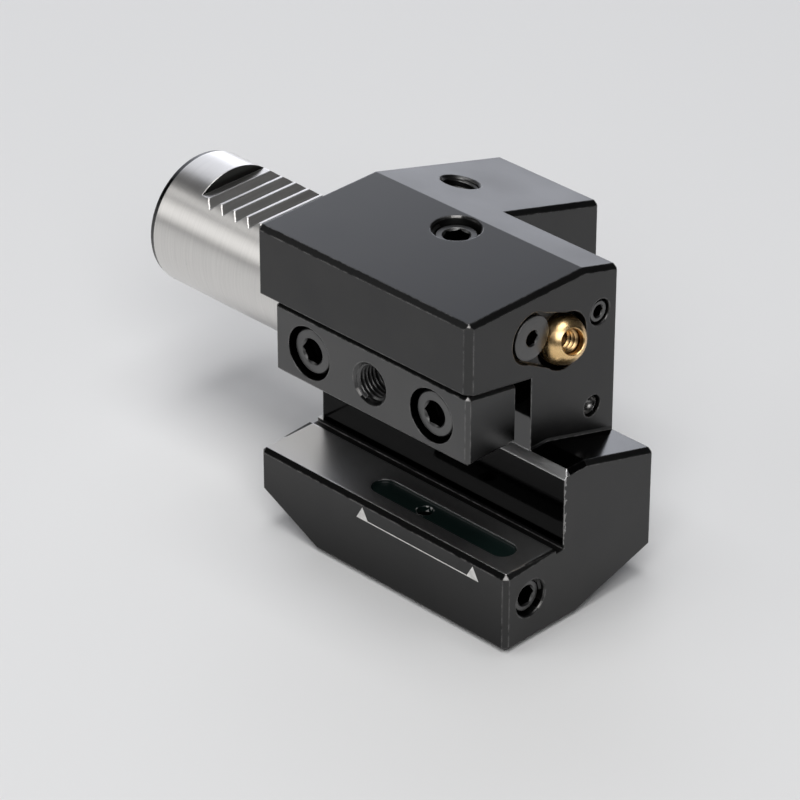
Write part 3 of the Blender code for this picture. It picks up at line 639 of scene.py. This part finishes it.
def build_oxide_finish(name, tone, is_holder):
    """Black oxide on milled steel, for the wedge, or for the holder with its shank, slot and pocket."""
    material, tree, shader = new_material(name)
    surface = Surface(tree)
    clouds = surface.clouds(CLOUD_SIZE)
    grain = surface.clouds(GRAIN_SIZE)
    edges = place_group(tree, EDGES, {"Place": surface.place, "Width": WORN_WIDTH, "Strength": 0.6})
    across = surface.marks((0.02, 1.0, 1.0), MILLING_LINES)
    upright = surface.marks((1.0, 1.0, 0.02), FRONT_LINES)
    marks = mix_value(tree, surface.forward, across, upright)
    colour = mix_colour(tree, clouds, grey(tone * 0.92), (tone * 1.08, tone * 1.07, tone * 1.06))
    coat = Coat(tree, colour, mix_value(tree, clouds, *OXIDE_ROUGHNESS))
    paint_chamfer_shade_and_corner_highlight(coat, surface, tone)
    normal = edges["Normal"]
    shader.inputs["Metallic"].default_value = 1.0
    if is_holder:
        paint_slot(coat, surface, tone, grain, upright)
        paint_shade_fall_off(coat, surface, tone)
        in_pocket = paint_wear_and_pocket(coat, surface, edges["Mask"])
        ground, around = paint_shank(coat, surface)
        marks = mix_value(tree, ground, marks, around)
        normal = add(tree, "ShaderNodeMix", {
            0: ledge_foot(surface), 4: normal, 5: FOOT_NORMAL,
        }, data_type="VECTOR").outputs[1]
        tree.links.new(outside(tree, in_pocket), shader.inputs["Metallic"])
    else:
        paint_wedge(coat, surface, tone, edges["Mask"])
    relief = add(tree, "ShaderNodeBump", {
        "Height": calculate(tree, "ADD", marks, calculate(tree, "MULTIPLY", grain, GRAIN_SHARE)),
        "Normal": normal, "Strength": 0.14, "Distance": 0.03 * MM,
    })
    tree.links.new(coat.colour, shader.inputs["Base Color"])
    tree.links.new(coat.roughness, shader.inputs["Roughness"])
    tree.links.new(relief.outputs[0], shader.inputs["Normal"])
    return material


def build_turned_finish(name, colours, roughness, spacing, strength, recess_shade_tone=None, groove_colour=None):
    """Turned metal with fine rings; a screw's socket may be painted dark as shade, and the ball's thread may
    be darker.
    """
    material, tree, shader = new_material(name)
    place = add(tree, "ShaderNodeTexCoord").outputs["Object"]
    own_place = add(tree, "ShaderNodeAttribute", attribute_name="own_place").outputs["Vector"]
    own = add(tree, "ShaderNodeSeparateXYZ", {0: own_place}).outputs
    rings = place_group(tree, RINGS, {"Own Place": own_place, "Spacing": spacing})["Value"]
    clouds = place_group(tree, CLOUDS, {"Place": place, "Size": 0.004, "Low": -0.3, "High": 0.3})["Value"]
    edges = place_group(tree, EDGES, {"Place": place, "Width": 0.00015, "Strength": 0.5})
    share = calculate(tree, "ADD", rings, clouds)
    coat = Coat(tree, mix_colour(tree, share, *colours), mix_value(tree, share, *roughness))
    if recess_shade_tone:
        coat.paint(edges["Mask"], WORN_STEEL)
        # Below this height a screw's socket is painted near black as shade.
        coat.paint(calculate(tree, "LESS_THAN", own["Z"], SOCKET_SHADE_HEIGHT), grey(recess_shade_tone))
    if groove_colour:
        radius = distance_from(tree, own, "X", "Y", (0.0, 0.0))
        groove = both(
            tree, ramp(tree, radius, BALL_THREAD_CREST, BALL_BORE),
            calculate(tree, "LESS_THAN", radius, BALL_BORE + 0.02 * MM),
            calculate(tree, "LESS_THAN", own["Z"], BALL_GROOVES_END),
        )
        coat.paint(groove, groove_colour)
    relief = add(tree, "ShaderNodeBump", {
        "Height": rings, "Normal": edges["Normal"], "Strength": strength, "Distance": 0.04 * MM,
    })
    shader.inputs["Metallic"].default_value = 1.0
    tree.links.new(coat.colour, shader.inputs["Base Color"])
    tree.links.new(coat.roughness, shader.inputs["Roughness"])
    tree.links.new(relief.outputs[0], shader.inputs["Normal"])
    return material


def build_rubber():
    """Black rubber of the seal rings."""
    material, tree, shader = new_material("seal_rubber")
    place = add(tree, "ShaderNodeTexCoord").outputs["Object"]
    clouds = place_group(tree, CLOUDS, {"Place": place, "Size": 0.003})["Value"]
    tree.links.new(mix_value(tree, clouds, *RUBBER_ROUGHNESS), shader.inputs["Roughness"])
    tree.links.new(mix_colour(tree, clouds, *RUBBER), shader.inputs["Base Color"])
    return material


def build_mark_finish():
    """Bare metal of the lasered clamping mark."""
    material, tree, shader = new_material("lasered_mark")
    place = add(tree, "ShaderNodeTexCoord").outputs["Object"]
    clouds = place_group(tree, CLOUDS, {"Place": place, "Size": 0.0012})["Value"]
    tree.links.new(mix_colour(tree, clouds, *LASERED), shader.inputs["Base Color"])
    shader.inputs["Roughness"].default_value = 0.55
    return material


# Geometry trees for what is turned and threaded


def build_thread_ridge():
    """A V-shaped ridge wound round +Z, its crest outwards or inwards."""
    group, given, result = new_group(
        "thread ridge", "GeometryNodeTree",
        {
            "Crest Radius": ("Float", 0.003),
            "Pitch": ("Float", 0.001),
            "Length": ("Float", 0.01),
            "Inward": ("Float", 0.0),
        },
        {"Geometry": "Geometry"},
    )
    ridge = calculate(group, "MULTIPLY", given["Pitch"], RIDGE_PER_PITCH)
    side = calculate(group, "SUBTRACT", calculate(group, "MULTIPLY", given["Inward"], 2.0), 1.0)
    radius = calculate(group, "ADD", given["Crest Radius"], calculate(group, "MULTIPLY", ridge, side))
    turns = calculate(group, "DIVIDE", given["Length"], given["Pitch"])
    spiral = add(group, "GeometryNodeCurveSpiral", {
        "Resolution": 28, "Rotations": turns, "Start Radius": radius, "End Radius": radius,
        "Height": given["Length"], "Reverse": True,
    })
    upright = add(group, "GeometryNodeSetCurveNormal", {0: spiral.outputs[0]}, mode="Z_UP")
    section = add(group, "GeometryNodeCurvePrimitiveCircle", {"Resolution": 3, "Radius": ridge})
    turn = calculate(group, "MULTIPLY", given["Inward"], math.pi)
    turned = add(group, "GeometryNodeTransform", {
        0: section.outputs[0], "Rotation": add(group, "ShaderNodeCombineXYZ", {2: turn}).outputs[0],
    })
    swept = add(group, "GeometryNodeCurveToMesh", {
        0: upright.outputs[0], 1: turned.outputs[0], "Fill Caps": True,
    })
    group.links.new(swept.outputs[0], result["Geometry"])
    return group


def shifted(tree, geometry, height):
    """The geometry moved along Z."""
    step = add(tree, "ShaderNodeCombineXYZ", {2: height}).outputs[0]
    return add(tree, "GeometryNodeTransform", {0: geometry, "Translation": step}).outputs[0]


def finish_tree(tree, geometry, finish, result):
    """Keep each point's own place, for the ring pattern, and set the finish."""
    own = add(tree, "GeometryNodeInputPosition").outputs[0]
    kept = add(tree, "GeometryNodeStoreNamedAttribute", {
        "Geometry": geometry, "Name": "own_place", "Value": own,
    }, data_type="FLOAT_VECTOR", domain="POINT")
    real = add(tree, "GeometryNodeRealizeInstances", {0: kept.outputs[0]})
    dressed = add(tree, "GeometryNodeSetMaterial", {0: real.outputs[0], "Material": finish})
    tree.links.new(dressed.outputs[0], result["Geometry"])


def socket_tool(tree, given):
    """Hexagon with a cone at its mouth, to be cut out of a screw's face."""
    circumradius = calculate(tree, "DIVIDE", given["Socket Width"], math.sqrt(3))
    twice_deep = calculate(tree, "MULTIPLY", given["Socket Depth"], 2.0)
    hexagon = add(tree, "GeometryNodeMeshCylinder", {
        "Vertices": 6, "Radius": circumradius, "Depth": twice_deep,
    })
    mouth_radius = calculate(tree, "ADD", circumradius, MOUTH_CHAMFER)
    cone_size = calculate(tree, "ADD", mouth_radius, CONE_SPARE)
    cone = add(tree, "GeometryNodeMeshCone", {
        "Vertices": 48, "Radius Top": cone_size, "Radius Bottom": 0.0, "Depth": cone_size,
    })
    mouth = shifted(tree, cone.outputs[0], calculate(tree, "MULTIPLY", mouth_radius, -1.0))
    tool = add(tree, "GeometryNodeMeshBoolean", operation="UNION", solver="EXACT")
    tree.links.new(hexagon.outputs[0], tool.inputs[1])
    tree.links.new(mouth, tool.inputs[1])
    return shifted(tree, tool.outputs[0], given["Socket Face"])


def build_turned_piece(ridge):
    """Spins a profile round +Z, cuts a hexagon socket in its top, and winds a thread."""
    tree, given, result = new_group(
        "turned piece", "GeometryNodeTree",
        {
            "Geometry": ("Geometry", None),
            "Sides": ("Int", 64),
            "Axis Offset": ("Float", 0.001),
            "Socket Width": ("Float", 0.0),
            "Socket Depth": ("Float", 0.0),
            "Socket Face": ("Float", 0.0),
            "Thread Radius": ("Float", 0.0),
            "Thread Pitch": ("Float", 0.001),
            "Thread Length": ("Float", 0.0),
            "Thread Start": ("Float", 0.0),
            "Thread Inward": ("Float", 0.0),
            "Finish": ("Material", None),
        },
        {"Geometry": "Geometry"},
    )
    profile = add(tree, "GeometryNodeMeshToCurve", {0: given["Geometry"]})
    path = add(tree, "GeometryNodeCurvePrimitiveCircle", {
        "Resolution": given["Sides"], "Radius": given["Axis Offset"],
    })
    spun = add(tree, "GeometryNodeCurveToMesh", {0: path.outputs[0], 1: profile.outputs[0]})
    closed = add(tree, "GeometryNodeMergeByDistance", {0: spun.outputs[0], "Distance": WELD})
    cut = add(tree, "GeometryNodeMeshBoolean", {0: closed.outputs[0]}, operation="DIFFERENCE", solver="EXACT")
    tree.links.new(socket_tool(tree, given), cut.inputs[1])
    shaped = add(tree, "GeometryNodeSwitch", {
        "Switch": calculate(tree, "GREATER_THAN", given["Socket Width"], 0.0),
        "False": closed.outputs[0], "True": cut.outputs[0],
    }, input_type="GEOMETRY")

    wound = place_group(tree, ridge, {
        "Crest Radius": given["Thread Radius"], "Pitch": given["Thread Pitch"],
        "Length": given["Thread Length"], "Inward": given["Thread Inward"],
    })[0]
    threaded = add(tree, "GeometryNodeSwitch", {
        "Switch": calculate(tree, "GREATER_THAN", given["Thread Length"], 0.0),
        "True": shifted(tree, wound, given["Thread Start"]),
    }, input_type="GEOMETRY")
    joined = tree.nodes.new("GeometryNodeJoinGeometry")
    tree.links.new(shaped.outputs[0], joined.inputs[0])
    tree.links.new(threaded.outputs[0], joined.inputs[0])
    finish_tree(tree, joined.outputs[0], given["Finish"], result)
    return tree


def build_hole_thread(ridge):
    """Thread turns alone, for the wall of a tapped hole."""
    tree, given, result = new_group(
        "hole thread", "GeometryNodeTree",
        {
            "Geometry": ("Geometry", None),
            "Crest Radius": ("Float", 0.003),
            "Pitch": ("Float", 0.001),
            "Length": ("Float", 0.01),
            "Finish": ("Material", None),
        },
        {"Geometry": "Geometry"},
    )
    wound = place_group(tree, ridge, {
        "Crest Radius": given["Crest Radius"], "Pitch": given["Pitch"],
        "Length": given["Length"], "Inward": 1.0,
    })[0]
    finish_tree(tree, wound, given["Finish"], result)
    return tree


RIDGE = build_thread_ridge()
TURNED = build_turned_piece(RIDGE)
HOLE_THREAD = build_hole_thread(RIDGE)


# Pieces


def new_piece(name, mesh):
    piece = bpy.data.objects.new(name, mesh)
    bpy.context.scene.collection.objects.link(piece)
    return piece


def dress(piece, body, node=None):
    """Let a piece ride a body, in the place of a CAD node."""
    if node:
        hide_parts(node)
    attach(piece, body)


def set_inputs(modifier, values):
    """Set a Geometry Nodes modifier's inputs by their identifiers."""
    for item in modifier.node_group.interface.items_tree:
        if item.item_type == "SOCKET" and item.in_out == "INPUT" and item.name in values:
            modifier[item.identifier] = values[item.name]


def grow(piece, group, values, origin, axis):
    """Run a tree on a piece, then leave it as a plain mesh with its +Z turned towards axis."""
    modifier = piece.modifiers.new("grown", "NODES")
    modifier.node_group = group
    set_inputs(modifier, values)
    bpy.context.view_layer.update()
    evaluated = piece.evaluated_get(bpy.context.evaluated_depsgraph_get())
    plain = bpy.data.meshes.new_from_object(evaluated)
    turn = Vector(axis).normalized().to_track_quat("Z", "Y").to_matrix().to_4x4()
    plain.transform(Matrix.Translation(origin) @ turn)

    bm = bmesh.new()
    bm.from_mesh(plain)
    bmesh.ops.recalc_face_normals(bm, faces=bm.faces)
    for face in bm.faces:
        face.material_index = 0
    bm.to_mesh(plain)
    bm.free()
    plain.materials.clear()
    plain.materials.append(values["Finish"])
    plain.shade_smooth()
    plain.set_sharp_from_angle(angle=SHARP_ANGLE)
    piece.modifiers.clear()
    piece.data = plain


def turned_piece(name, profile, centre, axis, finish, closed=False, **sizes):
    """Spin (radius, height) points round axis, with height 0 at centre."""
    mesh = bpy.data.meshes.new(name)
    points = [(radius - AXIS_OFFSET, -height, 0.0) for radius, height in profile]
    edges = [(number, number + 1) for number in range(len(points) - 1)]
    if closed:
        edges.append((len(points) - 1, 0))
    mesh.from_pydata(points, edges, [])
    piece = new_piece(name, mesh)
    values = {key.replace("_", " ").title(): value for key, value in sizes.items()}
    grow(piece, TURNED, {"Axis Offset": AXIS_OFFSET, "Finish": finish, **values}, centre, axis)
    return piece


def hole_thread(name, body, mouth, axis, crest, pitch, start, end, finish):
    """Thread turns on the wall of a tapped hole, from start to end below its mouth."""
    piece = new_piece(name, bpy.data.meshes.new(name))
    values = {"Crest Radius": crest, "Pitch": pitch, "Length": end - start, "Finish": finish}
    grow(piece, HOLE_THREAD, values, Vector(mouth) - Vector(axis).normalized() * end, axis)
    dress(piece, body)


def smoothed(node, body, finish):
    """A CAD node's shape with flat faces shaded flat and round walls shaded smooth."""
    piece = new_piece(node + "_dressed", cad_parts[node].data.copy())
    bm = bmesh.new()
    bm.from_mesh(piece.data)
    bmesh.ops.remove_doubles(bm, verts=bm.verts, dist=WELD)
    bm.to_mesh(piece.data)
    bm.free()
    piece.data.shade_smooth()
    normals = flat_faces_lead(piece.data)
    round_off_shank(piece.data, normals)
    piece.data.normals_split_custom_set(normals)
    piece.data.materials.clear()
    piece.data.materials.append(finish)
    dress(piece, body, node)


def flat_faces_lead(mesh):
    """Corner normals that follow the largest of the faces meeting there at a slight angle."""
    meeting = [[] for vertex in mesh.vertices]
    for face in mesh.polygons:
        for number in face.vertices:
            meeting[number].append((face.normal.copy(), face.area ** 2 * AREA_SCALE))
    normals = []
    for face in mesh.polygons:
        for number in face.vertices:
            total = Vector()
            for normal, weight in meeting[number]:
                if normal.dot(face.normal) > math.cos(SLIGHT_ANGLE):
                    total += normal * weight
            normals.append(total.normalized())
    return normals


def round_off_shank(mesh, normals):
    """Shade the shank's ground wall as a true cylinder, between its teeth too."""
    for face in mesh.polygons:
        spots = [mesh.vertices[number].co for number in face.vertices]
        on_wall = all(abs(math.hypot(spot.y, spot.z) - SHANK_RADIUS) < 0.04 * MM for spot in spots)
        outwards = Vector((0.0, face.center.y, face.center.z)).normalized()
        if on_wall and face.center.x < 0 and face.normal.dot(outwards) > 0.98:
            for corner, spot in zip(face.loop_indices, spots):
                normals[corner] = Vector((0.0, spot.y, spot.z)).normalized()


def grub_screw(node, axis, radius, length, chamfer, socket_width, socket_depth, finish):
    """A grub screw or plug in the place of its CAD node; axis points out of its socket."""
    face = middle(node) + Vector(axis).normalized() * length / 2
    profile = [
        (0.0, 0.0), (radius - chamfer, 0.0), (radius, -chamfer),
        (radius, -length + chamfer), (radius - chamfer, -length), (0.0, -length),
    ]
    piece = turned_piece(
        node + "_dressed", profile, face, axis, finish, socket_width=socket_width, socket_depth=socket_depth,
    )
    dress(piece, "holder", node)


def cap_screw(node, body, finish):
    """Socket cap screw of the wedge."""
    low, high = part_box(node)
    centre = middle(node)
    length = high[1] - low[1]
    head_radius = (high[0] - low[0]) / 2
    head_height = 6 * MM
    core = 2.45 * MM
    edge = 0.35 * MM
    point = 0.6 * MM
    profile = [
        (0.0, 0.0), (head_radius - edge - 0.12 * MM, 0.0), (head_radius - edge, -0.03 * MM),
        (head_radius - 0.1 * MM, -edge + 0.05 * MM), (head_radius, -edge - 0.1 * MM),
        (head_radius, -head_height), (core, -head_height),
        (core, -length + point), (core - point, -length), (0.0, -length),
    ]
    piece = turned_piece(
        node + "_dressed", profile, Vector((centre.x, low[1], centre.z)), (0, -1, 0), finish,
        socket_width=5 * MM, socket_depth=3 * MM,
        thread_radius=3 * MM, thread_pitch=1 * MM, thread_length=16 * MM, thread_start=-length + 0.7 * MM,
    )
    dress(piece, body, node)


def countersunk_screw(node, body, finish):
    """Screw whose head holds the coolant ball."""
    low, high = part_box(node)
    centre = middle(node)
    length = high[0] - low[0]
    head_radius = (high[2] - low[2]) / 2
    rim = 0.6 * MM
    core = 2.1 * MM
    point = 0.5 * MM
    profile = [
        (0.0, 0.0), (head_radius - 0.3 * MM, 0.0), (head_radius - 0.08 * MM, -0.08 * MM),
        (head_radius, -0.3 * MM), (head_radius, -rim), (core, -rim - head_radius + core),
        (core, -length + point), (core - point, -length), (0.0, -length),
    ]
    piece = turned_piece(
        node + "_dressed", profile, Vector((high[0], centre.y, centre.z)), (1, 0, 0), finish,
        socket_width=3 * MM, socket_depth=1.8 * MM,
        thread_radius=2.5 * MM, thread_pitch=0.8 * MM, thread_length=8 * MM, thread_start=-length + 0.6 * MM,
    )
    dress(piece, body, node)


def coolant_ball(finish):
    """Brass ball with a tapped outlet that narrows behind the thread."""
    steps = 48
    first = math.asin(BALL_MOUTH / BALL_RADIUS)
    last = math.pi - math.asin(BALL_BACK_BORE / BALL_RADIUS)
    angles = [first + (last - first) * step / steps for step in range(steps + 1)]
    profile = [(BALL_RADIUS * math.sin(angle), BALL_RADIUS * math.cos(angle)) for angle in angles]
    face = profile[0][1]
    profile += [
        (BALL_BACK_BORE, BALL_BORE_END), (BALL_BORE, BALL_BORE_END + BALL_BORE - BALL_BACK_BORE),
        (BALL_BORE, face - BALL_MOUTH + BALL_BORE),
    ]
    piece = turned_piece(
        "nozzle_ball_dressed", profile, BALL_CENTRE, BALL_AIM, finish, closed=True, sides=96,
        thread_radius=BALL_THREAD_CREST, thread_pitch=BALL_THREAD_PITCH,
        thread_length=BALL_THREAD_TURNS * BALL_THREAD_PITCH, thread_start=BALL_THREAD_START,
        thread_inward=1.0,
    )
    dress(piece, "nozzle", "nozzle_ball")


def seal_ring(node, mean_radius, wire_radius, finish):
    """Rubber ring round an axis along X."""
    steps = 20
    angles = [2 * math.pi * step / steps for step in range(steps)]
    profile = [
        (mean_radius + wire_radius * math.cos(angle), wire_radius * math.sin(angle)) for angle in angles
    ]
    piece = turned_piece(node + "_dressed", profile, middle(node), (1, 0, 0), finish, closed=True, sides=96)
    dress(piece, "holder", node)


def bore_closure(node, finish):
    """Closes the front end of the shank's drilling: a pressed-in plug with a cupped face."""
    low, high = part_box(node)
    centre = middle(node)
    length = high[0] - low[0]
    radius = (high[2] - low[2]) / 2
    rim = 0.05 * MM
    cup = radius - 2 * rim
    steps = 13
    angles = [step * math.pi / (2 * steps) for step in range(steps)]
    profile = [(cup * math.sin(angle), -0.85 * cup * math.cos(angle)) for angle in angles]
    profile += [(radius - rim, 0.0), (radius, -rim), (radius, -length), (0.0, -length)]
    face = Vector((high[0], centre.y, centre.z))
    piece = turned_piece(node + "_dressed", profile, face, (1, 0, 0), finish, sides=48)
    dress(piece, "holder", node)


def clamping_mark(finish):
    """Shows how far the tool must be held by the wedge."""
    start, end = MARK_LINE
    half = MARK_LINE_WIDTH / 2
    low = MARK_LINE_Z - half
    outlines = [[(start, low), (end, low), (end, MARK_LINE_Z + half), (start, MARK_LINE_Z + half)]]
    for left in (start - MARK_TRIANGLE_WIDTH, end):
        right = left + MARK_TRIANGLE_WIDTH
        outlines.append([(left, low), (right, low), ((left + right) / 2, low + MARK_TRIANGLE_HEIGHT)])
    bm = bmesh.new()
    for outline in outlines:
        face = bm.faces.new([bm.verts.new((x, SIDE_Y + MARK_PROUD, z)) for x, z in outline])
        grown = bmesh.ops.extrude_face_region(bm, geom=[face])
        moved = [item for item in grown["geom"] if isinstance(item, bmesh.types.BMVert)]
        bmesh.ops.translate(bm, verts=moved, vec=(0, -2 * MARK_PROUD, 0))
    bmesh.ops.recalc_face_normals(bm, faces=bm.faces)
    mesh = bpy.data.meshes.new("clamping_mark")
    bm.to_mesh(mesh)
    bm.free()
    mesh.materials.append(finish)
    dress(new_piece("clamping_mark", mesh), "holder")


def tapped_holes(holder_finish, wedge_finish):
    """Thread turns in the wedge's jack hole and in the mouths of the holder's tapped holes."""
    jack = Vector((middle("clamping_wedge").x, SIDE_Y, middle("wedge_screw_front").z))
    base = middle("base_plug")
    base.x = BASE_FRONT_X
    valve = middle("valve_screw")
    valve.z = TOP_Z
    riser = middle("riser_plug") + Vector(ROOF_NORMAL) * (RISER_PLUG_LENGTH / 2 + RISER_PLUG_DEPTH)
    # Name, body, mouth, direction out of it, then crest radius, pitch, start and end in mm, finish
    rows = (
        ("jack_hole_thread", "wedge", jack, (0, -1, 0), 3.42, 1.0, 0.8, 13.5, wedge_finish),
        ("base_hole_thread", "holder", base, (1, 0, 0), 3.4, 1.25, 0.75, 1.3, holder_finish),
        ("valve_hole_thread", "holder", valve, (0, 0, 1), 4.4, 1.25, 0.7, 1.4, holder_finish),
        ("riser_hole_thread", "holder", riser, ROOF_NORMAL, 3.4, 1.25, 0.7, 3.3, holder_finish),
    )
    for name, body, mouth, axis, crest, pitch, start, end, finish in rows:
        hole_thread(name, body, mouth, axis, crest * MM, pitch * MM, start * MM, end * MM, finish)


def build_holder():
    """Dress every node of the holder, with its tapped holes and its clamping mark."""
    holder_finish = build_oxide_finish("holder_oxide", BODY_TONE, True)
    wedge_finish = build_oxide_finish("wedge_oxide", WEDGE_TONE, False)
    screw_finish = build_turned_finish(
        "screw_oxide", SCREW_STEEL, SCREW_ROUGHNESS, spacing=0.22 * MM, strength=0.2, recess_shade_tone=RECESS_SHADE_TONE,
    )
    closure_finish = build_turned_finish(
        "closure_steel", CLOSURE_STEEL, CLOSURE_ROUGHNESS, spacing=0.22 * MM, strength=0.1,
    )
    brass_finish = build_turned_finish(
        "nozzle_brass", BRASS, BRASS_ROUGHNESS, spacing=0.3 * MM, strength=0.12, groove_colour=BRASS_GROOVE,
    )
    rubber = build_rubber()

    smoothed("holder_body", "holder", holder_finish)
    smoothed("clamping_wedge", "wedge", wedge_finish)
    for node, body in zip(WEDGE_SCREWS, ("rear_screw", "front_screw")):
        cap_screw(node, body, screw_finish)
    countersunk_screw("nozzle_clamp_screw", "holder", screw_finish)
    for sizes in GRUB_SCREWS:
        grub_screw(*sizes, screw_finish)
    bore_closure("shank_bore_ball", closure_finish)
    coolant_ball(brass_finish)
    for sizes in SEAL_RINGS:
        seal_ring(*sizes, rubber)
    tapped_holes(holder_finish, wedge_finish)
    clamping_mark(build_mark_finish())


# Studio


def build_floor():
    """Pale floor that the base's underside touches."""
    corners = [
        (x * FLOOR_HALF, y * FLOOR_HALF, BASE_BOTTOM_Z) for x, y in ((-1, -1), (1, -1), (1, 1), (-1, 1))
    ]
    mesh = bpy.data.meshes.new("floor")
    mesh.from_pydata(corners, [], [(0, 1, 2, 3)])
    material, tree, shader = new_material("pale_floor")
    shader.inputs["Base Color"].default_value = FLOOR_GREY
    shader.inputs["Roughness"].default_value = 0.9
    shader.inputs["Specular IOR Level"].default_value = 0.1
    mesh.materials.append(material)
    new_piece("floor", mesh)


def softbox(name, azimuth, elevation, distance, width, height, radiance, colour):
    """Soft light that stands off the holder in a direction and faces it."""
    lamp = bpy.data.lights.new(name, "AREA")
    lamp.shape = "RECTANGLE"
    lamp.size = width
    lamp.size_y = height
    lamp.energy = radiance * width * height * WATTS_PER_RADIANCE
    lamp.color = colour
    turn = math.radians(azimuth)
    rise = math.radians(elevation)
    away = Vector((math.cos(turn) * math.cos(rise), math.sin(turn) * math.cos(rise), math.sin(rise)))
    facing = away.to_track_quat("Z", "Y").to_matrix().to_4x4()
    stand = new_piece(name, lamp)
    stand.matrix_world = Matrix.Translation(LIT_POINT + away * distance) @ facing
    stand.visible_camera = False


def build_studio():
    """Softboxes and a dim world, shown without a look curve."""
    for sizes in SOFTBOXES:
        softbox(*sizes)
    world = bpy.data.worlds.new("studio")
    world.use_nodes = True
    background = world.node_tree.nodes["Background"]
    background.inputs["Color"].default_value = WORLD_GREY
    background.inputs["Strength"].default_value = 1.0
    bpy.context.scene.world = world
    bpy.context.scene.view_settings.view_transform = "Standard"


def build_camera():
    """Camera at the photograph's place, with its field of view."""
    camera = bpy.data.cameras.new("camera")
    camera.sensor_width = SENSOR_WIDTH
    camera.lens = FOCAL_PIXELS / PHOTO_SIDE * SENSOR_WIDTH
    camera.clip_start = 0.05
    camera.clip_end = 50
    right = Vector(CAMERA_RIGHT).normalized()
    back = right.cross(Vector(CAMERA_UP)).normalized()
    up = back.cross(right)
    stand = new_piece("camera", camera)
    stand.matrix_world = Matrix.Translation(CAMERA_PLACE) @ Matrix((right, up, back)).transposed().to_4x4()
    bpy.context.scene.camera = stand


build_holder()
build_floor()
build_studio()
build_camera()
